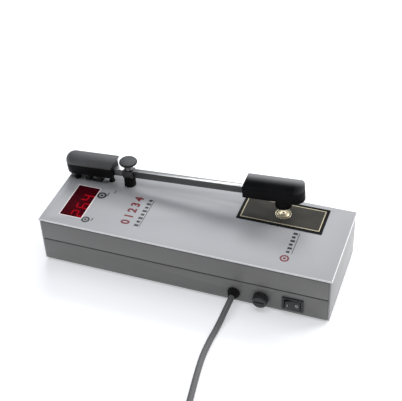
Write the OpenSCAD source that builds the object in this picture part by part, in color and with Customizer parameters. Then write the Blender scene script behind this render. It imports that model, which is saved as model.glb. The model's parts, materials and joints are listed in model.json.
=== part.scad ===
/* [Case] */
// Length of the case over its end plates
case_l = 300; // [285:1:360]
// Depth of the case, front to back
case_d = 102; // [100:1:130]
// Height of the case without its feet
case_h = 52.5; // [50:0.5:70]
// Thickness of the folded sheet of the tray and the shell
sheet_t = 1.5; // [1:0.1:2]
// Thickness of the end plates
end_t = 1.5; // [1:0.1:3]
// Open joint between the folded sheets and the end plates
end_gap = 0.3; // [0.1:0.1:1]
// Height of the long seam above the underside
seam_h = 26.4; // [25:0.2:30]
// Open joint along the seam
seam_gap = 0.7; // [0.2:0.1:1]
// How far the shell's lip reaches down behind the seam
lip_h = 6; // [4:0.5:7]
// Thickness of the shell's lip
lip_t = 1.2; // [0.8:0.1:1.6]
// Thickness of the cover plate
cover_t = 1.5; // [1:0.1:2.5]
// How far the cover plate stands past the walls
cover_over = 1; // [0.5:0.1:2]
// Depth of the flanges folded in at the foot of the end plates
flange_d = 11; // [9:0.5:14]
// Radius of the screws that hold the case together
case_screw_r = 1.5; // [1.25:0.05:1.75]

/* [Feet] */
// Height of the feet
foot_h = 3; // [2.8:0.1:6]
// Radius of the feet
foot_r = 6; // [5:0.5:9]
// Radius of the stem that holds each foot in the tray
stem_r = 2.4; // [2:0.1:3]
// How far the feet stand in from each end
foot_in_x = 25; // [22:1:40]
// How far the feet stand in from the front and the back
foot_in_y = 16; // [14:1:25]

/* [Display] */
// Distance of the red window from the left end
window_in = 16.3; // [14:0.1:20]
// Size of the window along the case
window_w = 23.7; // [21:0.1:26]
// Size of the window across the case
window_l = 48; // [44:0.5:52]
// Distance of the window from the front
window_front = 13; // [10:0.5:16]
// Width of the hidden ledge round the window
window_ledge = 2; // [1:0.1:3]
// Number of digits
digit_count = 3; // [3]
// Pitch of the digits
digit_pitch = 12.7; // [12.2:0.1:13]
// Length of one digit block, along the case
digit_l = 19; // [17:0.5:20]
// Height of one digit block
digit_h = 8; // [7:0.5:9]
// Space between the digits and the window
digit_gap = 1.2; // [0.5:0.1:3]

/* [Stage] */
// Distance of the measuring spot from the right end
spot_in = 68; // [60:1:80]
// Distance of the arm and the measuring spot from the back
arm_in = 24; // [22:0.5:27]
// Length of the stage plate
stage_l = 87; // [70:1:100]
// Width of the stage plate
stage_w = 37.5; // [34:0.5:40]
// How far the stage plate stands above the cover
stage_t = 0.8; // [0.5:0.1:1.5]
// Radius of the brass bush's rim
bush_r = 8; // [7.5:0.1:9]
// Radius of the bush's dome
dome_r = 6.3; // [5.5:0.1:7]
// Height of the dome above the cover plate
dome_h = 2.8; // [2:0.1:3.5]
// Radius of the light hole in the dome
spot_r = 1; // [0.5:0.1:1.5]

/* [Lamp] */
// Outer radius of the lamp house
lamp_house_r = 14; // [12:0.5:16]
// Wall of the lamp house
lamp_house_wall = 1.2; // [0.8:0.1:2]
// Radius of the lamp's glass
lamp_r = 5; // [4:0.5:6.5]
// Radius of the opal diffuser
diffuser_r = 5.6; // [4.5:0.1:6]

/* [Arm] */
// Distance of the arm's pivot from the left end
pivot_in = 27; // [24:0.5:30]
// Height of the pivot above the cover plate
pivot_h = 12.5; // [12:0.1:16]
// Slope of the arm at rest, in degrees
rest_deg = 3.87; // [3.4:0.01:4.4]
// Travel of the arm when the head is pressed down, in degrees
press_deg = 2.6; // [2.2:0.05:2.8]
// Width of the bar
bar_w = 5; // [4.5:0.1:6]
// Height of the bar
bar_h = 8; // [7:0.1:9]
// Wall of the bar's tube
bar_wall = 1; // [0.6:0.1:1.2]
// Width of the head and of the rear housing
hood_w = 19.5; // [18.5:0.5:22]
// Height of the upright sides of the housings
side_h = 11.75; // [10.5:0.25:14]
// Wall of the housings
hood_wall = 1.5; // [1.2:0.1:2]
// Step in from the domed cap to the lower half
hood_step = 0.5; // [0.2:0.1:0.8]
// How far the head reaches back from the measuring spot
head_back = 39.5; // [36:0.5:50]
// How far the head reaches past the measuring spot
head_front = 22; // [18:0.5:26]
// Lean of the head cap's flat end away from the bar, in degrees
head_lean = 22; // [10:1:28]
// Rounding of the head cap's far end
head_round = 5; // [3:0.5:6.5]
// How far the rear housing reaches back from the pivot
rear_back = 30.4; // [29:0.2:36]
// How far the rear housing reaches forward from the pivot
rear_front = 24; // [22:0.5:25]
// Lean of the rear cap's flat end out over the bar, in degrees
rear_lean = 29; // [0:1:32]
// Radius of the sensor nose
nose_r = 8.5; // [7.5:0.1:9]
// Gap left under the nose for the film
film_gap = 0.3; // [0.2:0.05:0.6]

/* [Hinge] */
// Radius of the pivot pin
pin_r = 1.5; // [1.2:0.05:2]
// Radial running fit of the pin in the arm
pin_fit = 0.05; // [0.02:0.01:0.1]
// Thickness of the hinge bracket
bracket_t = 1.5; // [1.2:0.1:2]
// Width of the pivot block between the bracket's ears
block_w = 9; // [8:0.1:9.6]
// Gap between the pivot block and each ear
ear_gap = 0.2; // [0.1:0.05:0.3]
// Length of the bracket's foot
bracket_l = 19; // [18:0.5:24]
// How far the foot reaches forward of the pivot
bracket_fore = 10; // [9:0.5:13]
// Diameter of the sensor lead
lead_d = 2.4; // [2:0.1:3]

/* [Post and knob] */
// Distance of the post from the left end
post_in = 66.8; // [66:0.1:90]
// Radius of the stud
stud_r = 2; // [1.5:0.1:2.5]
// Radial running fit of the knob on the stud
knob_fit = 0.05; // [0.02:0.01:0.1]
// Length of the steel boss on the bar
boss_l = 11; // [10:0.5:13]
// Width of the steel boss
boss_w = 9.5; // [9:0.5:12]
// Outer radius of the rubber boot
boot_r = 6.1; // [5.5:0.05:6.8]
// Wire of the return spring
spring_wire = 0.8; // [0.5:0.1:1]
// Number of curls of the return spring
spring_curls = 5; // [4:1:7]
// Radius of the knob
knob_r = 9.4; // [8:0.05:10]
// Thickness of the knob
knob_h = 4.6; // [4:0.1:7]
// Height of the knob's neck
neck_h = 7.6; // [6.5:0.1:9]
// Thickness of the washer under the knob
washer_t = 0.8; // [0.5:0.1:1.5]
// Distance of the down stop from the left end
stop_in = 46.1; // [45.5:0.1:48]
// Radius of the down stop
stop_r = 2.4; // [2:0.1:3]

/* [Front fittings] */
// Distance of the cord gland from the right end
gland_in = 95; // [90:0.5:110]
// Height of the gland above the underside
gland_up = 10; // [9:0.5:14]
// Radius of the gland's flange
gland_r = 6.2; // [5.8:0.1:7]
// Diameter of the mains cord
cord_d = 6; // [5.6:0.1:6.2]
// Distance of the fuse holder from the right end
fuse_in = 67.5; // [64:0.5:72]
// Height of the fuse holder above the underside
fuse_up = 10.5; // [10:0.5:14]
// Radius of the fuse cap
fuse_cap_r = 7.8; // [7.6:0.1:8.5]
// How far the fuse cap stands out
fuse_cap_l = 7; // [5:0.5:12]
// Radius of the fuse link
fuse_r = 2.6; // [2.5:0.1:3.2]
// Length of the fuse link
fuse_l = 20; // [18:1:25]
// Distance of the switch from the right end
switch_in = 36; // [30:0.5:40]
// Height of the middle of the switch above the underside
switch_up = 11.75; // [10.5:0.25:14]
// Width of the switch's bezel
bezel_w = 21; // [20:0.5:23]
// Height of the switch's bezel
bezel_h = 15; // [14:0.5:16]
// Width of the rocker
rocker_w = 16; // [15:0.5:17]
// Height of the rocker
rocker_h = 10.2; // [9:0.1:11]
// Swing of the rocker from one side to the other, in degrees
rocker_deg = 18; // [14:1:20]

/* [Inside] */
// Length of the main circuit board
board_l = 90; // [70:1:100]
// Width of the main circuit board
board_w = 76; // [60:1:84]
// Height of the board's standoffs
standoff_h = 6; // [5:0.5:10]
// Length of the transformer's core
core_l = 40; // [36:1:44]
// Height of the transformer's core
core_h = 34; // [30:1:36]
// Thickness of the transformer's stack
core_t = 18; // [14:1:22]

/* [Plug] */
// Length of the plug's body
plug_l = 38; // [34:1:44]
// Width of the plug's body
plug_w = 34; // [32:1:38]
// Thickness of the plug's body
plug_t = 21; // [18:0.5:21]
// Length of the plug's flat pins
pin_l = 17; // [15:0.5:19]

/* [Hidden] */

fine = 64; // facets of a round form in a preview
far = 400; // longer than the object
thread_depth = 0.25; // depth of a screw thread, left off the shanks
thread_fit = 0.05; // clearance of a shank in its tapped hole
eps = 0.01; // sinks a cut past the face that it opens
fit = 0.1; // clearance of a fixed piece in its opening
touch = 0.3; // gap between a moving piece and its stop

left_x = -case_l / 2;
right_x = case_l / 2;
front_y = -case_d / 2;
back_y = case_d / 2;
under_z = foot_h;
floor_z = under_z + sheet_t;
top_z = under_z + case_h;
web_top = top_z - cover_t;
web_z = web_top - sheet_t;
seam_z = under_z + seam_h;
folded_l = case_l - 2 * (end_t + end_gap);
inner_y = back_y - sheet_t;

window_x = left_x + window_in + window_w / 2;
window_y = front_y + window_front + window_l / 2;
// the digits stand off the middle of the window, as far as the middle of their blocks
digit_x = window_x + 3.5;
digits_y0 = window_y - 14.2;
digit_top = web_z - digit_gap;
digit_foot = digit_top - digit_h;

spot_x = right_x - spot_in;
arm_y = back_y - arm_in;
dome_z = top_z + dome_h;

pivot_x = left_x + pivot_in;
pivot_z = top_z + pivot_h;
reach = spot_x - pivot_x;
down_deg = rest_deg - press_deg;
hood_r = hood_w / 2;
tub_r = hood_r - hood_step;
bar_foot = -bar_h / 2;
bar_start = -6;
bar_in_head = 24;
head_x = reach - head_back;
head_l = head_back + head_front;
rear_l = rear_back + rear_front;
seam_in_hood = bar_foot + side_h;
// the spot as the arm sees it when the head is down
nose_x = reach * cos(down_deg) + (dome_z - pivot_z) * sin(down_deg);
nose_foot = (dome_z - pivot_z) * cos(down_deg) - reach * sin(down_deg);

ear_in = block_w / 2 + ear_gap;
ear_out = ear_in + bracket_t;
pin_end_gap = 0.25;
pin_l_half = tub_r - hood_wall - pin_end_gap;
ear_fit = 0.02;
clip_t = 0.5;
clip_at = ear_out + 0.4;

post_x = left_x + post_in;
post_at = post_x - pivot_x;
boss_top = pivot_z + post_at * sin(rest_deg) + bar_h / 2 * cos(rest_deg);
boss_foot = pivot_z + post_at * sin(rest_deg) - bar_h / 2 * cos(rest_deg);
neck_r = 4.5;
washer_z = boss_top + neck_r * tan(rest_deg) + fit;
neck_z = washer_z + washer_t + 0.02;
knob_z = neck_z + neck_h;
stud_top = knob_z + knob_h - 2;
boot_bore = 4;
spring_r = 3;
stop_x = left_x + stop_in;
stop_z = pivot_z + bar_foot * cos(down_deg) + (stop_x - stop_r - pivot_x) * sin(down_deg) - touch;

gland_x = right_x - gland_in;
gland_z = under_z + gland_up;
gland_out = 7;
gland_hole_r = 5;
fuse_x = right_x - fuse_in;
fuse_z = under_z + fuse_up;
fuse_flange_t = 1.6;
fuse_shank_r = 6;
fuse_bore_r = 4.9;
spigot_fit = 0.08;
spigot_r = fuse_bore_r - spigot_fit;
spigot_l = 8;
fuse_start = front_y + 2;
switch_x = right_x - switch_in;
switch_z = under_z + switch_up;
bezel_t = 1.6;
switch_body_w = bezel_w - 2;
switch_body_h = bezel_h - 2.2;
switch_depth = 17;
rocker_pivot_y = front_y + 1;
rocker_face = 2;

inner_gap = 4; // space between the lamp house, the transformer and the board
house_flange = 5;
core_foot_l = 9;
core_x = spot_x - lamp_house_r - house_flange - inner_gap - core_foot_l - core_l / 2;
core_y = 20;
board_x = core_x - core_l / 2 - core_foot_l - inner_gap - board_l / 2;
board_y = 0;
board_t = 1.6;
board_z = floor_z + standoff_h;

// Route of the free cord: out of the gland, down to the bench and away from the front.
cord_route = [
  [gland_x, front_y - gland_out, gland_z], [55, -64, 13], [54.6, -70, 11.9], [53.8, -76, 9.7],
  [52.7, -83, 6.6], [51.7, -90, 4.3], [51, -97, 3.2], [50.3, -105, 3], [50, -115, 3], [50, -127, 3],
  [51, -140, 3], [52.8, -155, 3], [54.9, -170, 3], [57, -185, 3], [59, -200, 3], [60.7, -214, 3],
  [61.8, -228, 3.2], [62.3, -240, 3.7], [62.3, -251, 4], [62.3, -257, 4]
];
cord_sides = 8;

// The coil: two layers of turns that spiral in and out again.
coil_x = 17;
coil_y = -263;
coil_z = 4;
coil_out = 45.3;
coil_pitch = 6.6;
coil_rise = 6.6;
coil_rings = 24;
coil_sides = 6;
coil_turns_in = 3;
coil_turns_out = 2.75;
coil_turns = coil_turns_in + 0.5 + coil_turns_out;
coil_steps = coil_turns * coil_rings;
coil_end_r = coil_out - coil_pitch * (coil_turns_in - coil_turns_out);
tail_l = 40;
tail_y = coil_y - coil_end_r;
tail_z = coil_z + coil_rise;
relief_l = 22;
plug_x = coil_x - tail_l - relief_l;

function at_turn(t) =
  let (
    r = t < coil_turns_in + 0.25
      ? coil_out - coil_pitch * t
      : coil_out - coil_pitch * (2 * coil_turns_in + 0.5 - t),
    climb = min(1, max(0, 2 * (t - coil_turns_in))),
    a = -360 * t
  )
  [coil_x + r * cos(a), coil_y + r * sin(a), coil_z + coil_rise * climb];

coil_route = concat(
  [[coil_x + coil_out, coil_y + cord_d, coil_z]],
  [for (i = [0 : coil_steps]) at_turn(i / coil_rings)],
  [[coil_x - tail_l + cord_d, tail_y, tail_z], [coil_x - tail_l, tail_y, tail_z]]
);

// Least distance between turns of a route that lie more than half a turn apart, less the cord.
function least_gap(route, apart, d) =
  min([for (i = [0 : len(route) - 1 - apart], j = [i + apart : len(route) - 1])
    norm(route[i] - route[j])]) - d;

// Route of the sensor lead, from inside the case up into the open end of the bar.
lead_x = left_x + 9;
lead_y = arm_y - 5;
lead_route = [
  [lead_x, lead_y, web_z - 4], [lead_x, lead_y, top_z + 1], [lead_x, lead_y, top_z + 3.4],
  [lead_x - 1, lead_y + 0.4, top_z + 6], [lead_x - 2, lead_y + 1.5, top_z + 8.6],
  [lead_x - 1.6, lead_y + 3.2, top_z + 10.8], [lead_x + 0.6, lead_y + 4.6, top_z + 11.9],
  [lead_x + 4, lead_y + 5, top_z + 12.1], [lead_x + 9, lead_y + 5, top_z + 12.1],
  [lead_x + 14.5, lead_y + 5, top_z + 12.1]
];

spring_foot = top_z + fit + spring_wire / 2;
spring_top = boss_foot - spring_r * tan(rest_deg) - spring_wire - fit;
spring_route = [for (i = [0 : spring_curls * 8])
  let (a = 45 * i)
  [post_x + spring_r * cos(a), arm_y + spring_r * sin(a),
    spring_foot + (spring_top - spring_foot) * i / (spring_curls * 8)]];

function unit(v) = v / norm(v);
function heading(route, i) =
  unit(route[min(len(route) - 1, i + 1)] - route[max(0, i - 1)]);

// One ring of a tube round point i of a route.
function ring(route, i, r, sides, aside) =
  let (t = heading(route, i), u = unit(cross(aside, t)), v = cross(t, u))
  [for (k = [0 : sides - 1]) route[i] + r * (cos(360 * k / sides) * u + sin(360 * k / sides) * v)];

// A tube of constant radius along a route, closed at both ends.
module tube(route, r, sides, aside = [0, 0, 1]) {
  n = len(route);
  points = [for (i = [0 : n - 1]) each ring(route, i, r, sides, aside)];
  walls = [for (i = [0 : n - 2], k = [0 : sides - 1])
    let (a = i * sides + k, b = i * sides + (k + 1) % sides)
    each [[a, a + sides, b], [b, a + sides, b + sides]]];
  start = [for (k = [1 : sides - 2]) [0, k, k + 1]];
  stop = [for (k = [1 : sides - 2]) [(n - 1) * sides, (n - 1) * sides + k + 1, (n - 1) * sides + k]];
  polyhedron(points = points, faces = concat(walls, start, stop));
}

module slab(x0, x1, y0, y1, z0, z1) {
  translate([x0, y0, z0]) cube([x1 - x0, y1 - y0, z1 - z0]);
}

// A rod along Z between two heights.
module rod(x, y, z0, z1, r) {
  translate([x, y, z0]) cylinder(h = z1 - z0, r = r, $fn = fine);
}

// A rod along Y between two depths.
module cross_rod(x, z, y0, y1, r) {
  translate([x, y1, z]) rotate([90, 0, 0]) cylinder(h = y1 - y0, r = r, $fn = fine);
}

// A turned form on an axis that points out of the front wall; its profile's height runs outwards.
module front_turned(x, z) {
  translate([x, front_y, z]) rotate([90, 0, 0]) rotate_extrude($fn = fine) children();
}

// Places a piece of the arm, drawn level round the pivot, at a slope.
module on_arm(deg = rest_deg) {
  translate([pivot_x, arm_y, pivot_z]) rotate([0, -deg, 0]) children();
}

/* ---- case ---- */

function foot_places() = [for (sx = [-1, 1], sy = [-1, 1])
  [sx * (case_l / 2 - foot_in_x), sy * (case_d / 2 - foot_in_y)]];

flange_in = 12;
flange_screw_in = 8;
back_screw_in = 30;
flange_w = case_d - 2 * flange_in;
flange_screw_x = case_l / 2 - end_t - flange_d / 2;
flange_screw_y = flange_w / 2 - flange_screw_in;
function flange_screws() = [for (sx = [-1, 1], sy = [-1, 1])
  [sx * flange_screw_x, sy * flange_screw_y]];
back_screw_z = seam_z - lip_h / 2;
back_screws_x = [left_x + back_screw_in, 0, right_x - back_screw_in];

vent_l = 26;
vent_w = 2.4;
vent_pitch = 6;
vent_rows = 5;
vent_y = -10;

module base_tray() color([0.82, 0.82, 0.80])
  difference() {
    rotate([90, 0, 90]) translate([0, 0, -folded_l / 2]) linear_extrude(folded_l)
      difference() {
        translate([front_y, under_z]) square([case_d, seam_h]);
        translate([front_y + sheet_t, floor_z]) square([case_d - 2 * sheet_t, seam_h]);
      }
    for (p = foot_places()) rod(p[0], p[1], under_z - eps, floor_z + eps, stem_r + fit);
    for (p = flange_screws()) rod(p[0], p[1], under_z - eps, floor_z + eps, case_screw_r + fit);
    for (x = back_screws_x) cross_rod(x, back_screw_z, inner_y - eps, back_y + eps, case_screw_r + fit);
    cross_rod(gland_x, gland_z, front_y - eps, front_y + sheet_t + eps, gland_hole_r);
    cross_rod(fuse_x, fuse_z, front_y - eps, front_y + sheet_t + eps, fuse_shank_r + fit);
    slab(switch_x - switch_body_w / 2 - fit, switch_x + switch_body_w / 2 + fit, front_y - eps,
      front_y + sheet_t + eps, switch_z - switch_body_h / 2 - fit, switch_z + switch_body_h / 2 + fit);
    for (i = [0 : vent_rows - 1])
      let (y = vent_y + (i - (vent_rows - 1) / 2) * vent_pitch)
      slab(spot_x - vent_l / 2, spot_x + vent_l / 2, y - vent_w / 2, y + vent_w / 2, under_z - eps,
        floor_z + eps);
  }

function tapped_r(r) = r - thread_depth + thread_fit;

// The openings that the shell and the cover plate share.
module top_openings(z0, z1) {
  rod(spot_x, arm_y, z0, z1, dome_r + fit);
  rod(post_x, arm_y, z0, z1, stud_r + fit);
  rod(lead_x, lead_y, z0, z1, grommet_r + fit);
  rod(stop_x, arm_y, z0, z1, stop_stem_r + fit);
  for (x = bracket_screws_at()) rod(x, arm_y, z0, z1, tapped_r(bracket_screw_r));
}

module upper_shell() color([0.84, 0.84, 0.82])
  difference() {
    rotate([90, 0, 90]) translate([0, 0, -folded_l / 2]) linear_extrude(folded_l)
      union() {
        difference() {
          translate([front_y, seam_z + seam_gap]) square([case_d, web_top - seam_z - seam_gap]);
          translate([front_y + sheet_t, seam_z])
            square([case_d - 2 * sheet_t, web_z - seam_z]);
        }
        for (side = [-1, 1]) scale([side, 1]) {
          translate([inner_y - fit - lip_t, seam_z - lip_h]) square([lip_t, 2 * lip_h]);
          translate([inner_y - fit - lip_t, seam_z + seam_gap])
            square([lip_t + 2 * fit, lip_h - seam_gap]);
        }
      }
    top_openings(web_z - eps, web_top + eps);
    slab(window_x - window_w / 2 - window_ledge - fit, window_x + window_w / 2 + window_ledge + fit,
      window_y - window_l / 2 - window_ledge - fit, window_y + window_l / 2 + window_ledge + fit,
      web_z - eps, web_top + eps);
    for (x = back_screws_x)
      cross_rod(x, back_screw_z, inner_y - notch_d, inner_y + eps, tapped_r(case_screw_r));
    lip_notch(switch_x, bezel_w / 2, switch_z + bezel_h / 2);
    lip_notch(fuse_x, holder_nut_r + notch_over, fuse_z + holder_nut_r);
  }

notch_d = 5;
notch_over = 1;

// Clears the front lip round a fitting in the wall below it.
module lip_notch(x, half_w, z)
  slab(x - half_w, x + half_w, front_y + sheet_t - eps, front_y + sheet_t + notch_d,
    seam_z - lip_h - notch_over, z + notch_over);

cover_edge = 0.7;

// A plate whose upper edge is rounded by quarter rods.
module cover_plate() color([0.88, 0.88, 0.87])
  difference() {
    cover_blank(case_l + 2 * cover_over, case_d + 2 * cover_over);
    top_openings(web_top - eps, top_z + eps);
    slab(window_x - window_w / 2 - fit, window_x + window_w / 2 + fit, window_y - window_l / 2 - fit,
      window_y + window_l / 2 + fit, web_top - eps, top_z + eps);
  }

module cover_blank(l, d) {
  e = cover_edge;
  slab(-l / 2, l / 2, -d / 2, d / 2, web_top, top_z - e);
  slab(-l / 2 + e, l / 2 - e, -d / 2 + e, d / 2 - e, top_z - e, top_z);
  for (s = [-1, 1]) {
    translate([0, s * (d / 2 - e), top_z - e]) rotate([0, 90, 0])
      cylinder(h = l - 2 * e, r = e, center = true, $fn = 24);
    translate([s * (l / 2 - e), 0, top_z - e]) rotate([90, 0, 0])
      cylinder(h = d - 2 * e, r = e, center = true, $fn = 24);
    for (t = [-1, 1]) translate([s * (l / 2 - e), t * (d / 2 - e), top_z - e]) sphere(r = e, $fn = 24);
  }
}

module end_plate(side) {
  x_out = side * case_l / 2;
  x_in = side * (case_l / 2 - end_t);
  x_flange = side * (case_l / 2 - end_t - flange_d);
  difference() {
    union() {
      slab(min(x_out, x_in), max(x_out, x_in), front_y, back_y, under_z, web_top);
      slab(min(x_in, x_flange), max(x_in, x_flange), -flange_w / 2, flange_w / 2, floor_z,
        floor_z + end_t);
    }
    for (p = flange_screws())
      rod(p[0], p[1], floor_z - eps, floor_z + end_t + eps, tapped_r(case_screw_r));
  }
}

module end_plate_left() color([0.86, 0.86, 0.84]) end_plate(-1);
module end_plate_right() color([0.86, 0.86, 0.84]) end_plate(1);

head_h = 1.4;
head_wide = 1.9; // radius of a head over that of its screw
cross_long = 1.2; // half length of the cross over the screw's radius
cross_wide = 0.25;
cross_deep = 0.7;
case_screw_l = 6;

// A cross-headed screw on +Z, its head under z = 0 and its shank above.
module screw(r, l) {
  difference() {
    union() {
      translate([0, 0, -head_h]) cylinder(h = head_h, r = head_wide * r, $fn = 32);
      cylinder(h = l, r = r - thread_depth, $fn = 24);
    }
    for (a = [0, 90]) rotate([0, 0, a])
      translate([-cross_long * r, -cross_wide * r, -head_h - eps])
        cube([2 * cross_long * r, 2 * cross_wide * r, cross_deep]);
  }
}

module case_screws() color([0.72, 0.72, 0.72]) {
  for (p = flange_screws()) translate([p[0], p[1], under_z]) screw(case_screw_r, case_screw_l);
  for (x = back_screws_x) translate([x, back_y, back_screw_z]) rotate([90, 0, 0])
    screw(case_screw_r, case_screw_l);
}

stem_barb = 0.9;
stem_tip = 0.8;
stem_l = 3.4;

// Rubber feet, each pushed through the tray by a stem with a barb.
module feet() color([0.07, 0.07, 0.07])
  for (p = foot_places()) translate([p[0], p[1], 0])
    rotate_extrude($fn = fine) polygon([
      [0, 0], [foot_r, 0], [foot_r, foot_h], [stem_r, foot_h], [stem_r, floor_z + fit],
      [stem_r + stem_barb, floor_z + fit], [stem_r - stem_tip, floor_z + stem_l], [0, floor_z + stem_l]
    ]);

/* ---- display ---- */

module display_window() color([0.45, 0.02, 0.05]) {
  l = window_ledge;
  slab(window_x - window_w / 2, window_x + window_w / 2, window_y - window_l / 2,
    window_y + window_l / 2, web_top - eps, top_z - 0.2);
  slab(window_x - window_w / 2 - l, window_x + window_w / 2 + l, window_y - window_l / 2 - l,
    window_y + window_l / 2 + l, web_z, web_top);
}

segment = 1.3;
segment_cut = 0.9;
segment_rise = 0.4;
block_sink = 0.3;
figure_w = 7.2;
figure_l = 12.7;
// Segments a to g of a figure, as places and turns in units of half its width and a quarter of its length.
segments = [[0, 2, 0], [1, 1, 90], [1, -1, 90], [0, -2, 0], [-1, -1, 90], [-1, 1, 90], [0, 0, 0]];
figures = [[0, 1, 3, 4, 6], [0, 2, 3, 4, 5, 6], [1, 2, 5, 6]];

module display_digits() color([0.08, 0.02, 0.02])
  for (i = [0 : digit_count - 1]) translate([digit_x, digits_y0 + i * digit_pitch, digit_foot]) {
    translate([-digit_l / 2, -digit_pitch / 2 + fit, 0])
      cube([digit_l, digit_pitch - 2 * fit, digit_h - block_sink]);
    for (s = figures[i % len(figures)])
      let (q = segments[s])
      translate([-q[1] * figure_l / 4, q[0] * figure_w / 2, digit_h - segment_rise])
        rotate([0, 0, q[2] + 90]) translate([-figure_w / 2 + segment_cut, -segment / 2, 0])
          cube([figure_w - 2 * segment_cut, segment, segment_rise]);
  }

display_post_r = 2.5;
display_bore_r = 1.3;
display_edge = 3;

// The posts stand midway between the screws of the hinge bracket.
function display_posts() = [for (s = [-1, 1])
  [pivot_x + bracket_fore - bracket_l / 2, window_y + s * (window_l / 2 + window_ledge + display_edge)]];

module display_board() color([0.10, 0.35, 0.18]) {
  edge_x = digit_l / 2 + display_edge;
  edge_y = window_l / 2 + window_ledge + 2 * display_edge;
  difference() {
    slab(digit_x - edge_x, digit_x + edge_x, window_y - edge_y, window_y + edge_y, digit_foot - board_t,
      digit_foot);
    for (p = display_posts()) rod(p[0], p[1], digit_foot - far, digit_foot + eps, display_bore_r);
  }
  for (p = display_posts()) difference() {
    rod(p[0], p[1], digit_foot, web_z, display_post_r);
    rod(p[0], p[1], digit_foot - eps, web_z - display_post_r, display_bore_r);
  }
}

/* ---- electronics ---- */

board_hole_in = 4;
board_hole_r = 1.6;
standoff_r = 3;
standoff_bore_r = 1.25;

function board_holes() = [for (sx = [-1, 1], sy = [-1, 1])
  [board_x + sx * (board_l / 2 - board_hole_in), board_y + sy * (board_w / 2 - board_hole_in)]];

module board_standoffs() color([0.75, 0.7, 0.5])
  for (p = board_holes()) difference() {
    translate([p[0], p[1], floor_z]) cylinder(h = standoff_h, r = standoff_r, $fn = 6);
    rod(p[0], p[1], floor_z + standoff_bore_r, board_z + eps, standoff_bore_r);
  }

module main_board() color([0.12, 0.38, 0.2])
  difference() {
    slab(board_x - board_l / 2, board_x + board_l / 2, board_y - board_w / 2, board_y + board_w / 2,
      board_z, board_z + board_t);
    for (p = board_holes()) rod(p[0], p[1], board_z - eps, board_z + board_t + eps, board_hole_r);
  }

// The parts on the board, each placed from the board's middle.
leg_pitch = 2.54;
leg_w = 0.6;
leg_h = 1.2;
chip_h = 3.4;
// place, length, width, legs along each side
chips = [[-8, 12, 51, 14, 20], [-22, -14, 20, 6.4, 8], [6, -14, 20, 6.4, 8]];
// place, radius, height
cans = [[32, -22, 5, 12], [32, -8, 5, 12], [20, 28, 3.2, 8], [30, 28, 3.2, 8]];
regulator_at = [22, 6];
regulator = [10, 4.4, 15];
sink = [18, 1.5, 20];
fins = 4;
fin = [1.5, 6, 20];
// place of the connectors' corners, and their size
connectors_at = [[-38, -34], [-38, 26]];
connector = [8, 8, 5];

// A flat chip with rows of legs.
module chip(l, w, legs) {
  translate([-l / 2, -w / 2, leg_h / 2]) cube([l, w, chip_h]);
  for (i = [0 : legs - 1], s = [-1, 1])
    translate([(i - (legs - 1) / 2) * leg_pitch - leg_w / 2, s * w / 2 - leg_w / 2, 0])
      cube([leg_w, leg_w, leg_h]);
}

module board_parts() color([0.1, 0.1, 0.12])
  translate([board_x, board_y, board_z + board_t]) {
    for (c = chips) translate([c[0], c[1], 0]) chip(c[2], c[3], c[4]);
    for (c = cans) translate([c[0], c[1], 0]) cylinder(h = c[3], r = c[2], $fn = fine);
    translate(regulator_at) cube(regulator);
    translate(regulator_at + [(regulator[0] - sink[0]) / 2, regulator[1]]) {
      cube(sink);
      for (i = [0 : fins - 1])
        translate([i * (sink[0] - fin[0]) / (fins - 1), sink[1], 0]) cube(fin);
    }
    for (p = connectors_at) translate(p) cube(connector);
  }

core_foot_w = 10;
core_foot_t = 1.5;
core_hole_r = 1.7;
limb = core_l / 6;

module transformer_core() color([0.35, 0.34, 0.33]) {
  difference() {
    slab(core_x - core_l / 2, core_x + core_l / 2, core_y - core_t / 2, core_y + core_t / 2, floor_z,
      floor_z + core_h);
    for (s = [-1, 1]) slab(core_x + s * core_l / 4 - limb / 2, core_x + s * core_l / 4 + limb / 2,
      core_y - core_t, core_y + core_t, floor_z + limb, floor_z + core_h - limb);
  }
  for (s = [-1, 1]) difference() {
    slab(core_x + (s > 0 ? core_l / 2 : -core_l / 2 - core_foot_l),
      core_x + (s > 0 ? core_l / 2 + core_foot_l : -core_l / 2), core_y - core_foot_w / 2,
      core_y + core_foot_w / 2, floor_z, floor_z + core_foot_t);
    rod(core_x + s * (core_l + core_foot_l) / 2, core_y, floor_z - eps, floor_z + core_foot_t + eps,
      core_hole_r);
  }
}

bobbin_gap = 0.3;
bobbin_side_gap = 0.4;
bobbin_rim_t = 1;
bobbin_rim = 0.8; // how far the bobbin's rims stand past the winding

module transformer_coil() color([0.85, 0.7, 0.3]) {
  z0 = floor_z + limb + bobbin_gap;
  z1 = floor_z + core_h - limb - bobbin_gap;
  half_x = core_l / 4 + limb / 2 - bobbin_side_gap;
  half_y = core_t / 2 + limb;
  difference() {
    union() {
      for (z = [z0, z1 - bobbin_rim_t])
        slab(core_x - half_x, core_x + half_x, core_y - half_y, core_y + half_y, z, z + bobbin_rim_t);
      slab(core_x - half_x + bobbin_rim, core_x + half_x - bobbin_rim, core_y - half_y + bobbin_rim,
        core_y + half_y - bobbin_rim, z0, z1);
    }
    slab(core_x - core_l / 4 + limb / 2 - fit, core_x + core_l / 4 - limb / 2 + fit,
      core_y - core_t / 2 - fit, core_y + core_t / 2 + fit, z0 - eps, z1 + eps);
  }
}

/* ---- stage and lamp ---- */

module stage_plate() color([0.25, 0.23, 0.2])
  difference() {
    slab(spot_x - stage_l / 2, spot_x + stage_l / 2, arm_y - stage_w / 2, arm_y + stage_w / 2, top_z,
      top_z + stage_t);
    rod(spot_x, arm_y, top_z - eps, top_z + stage_t + eps, bush_r + fit);
  }

bush_rim_h = 1.2;
bush_foot = web_z - 6;
dome_flat_r = 2.2;
// radius of the sphere that gives the dome its crown over the rim
crown_h = dome_h - bush_rim_h;
crown_r = (pow(dome_r, 2) + pow(crown_h, 2)) / (2 * crown_h);

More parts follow.
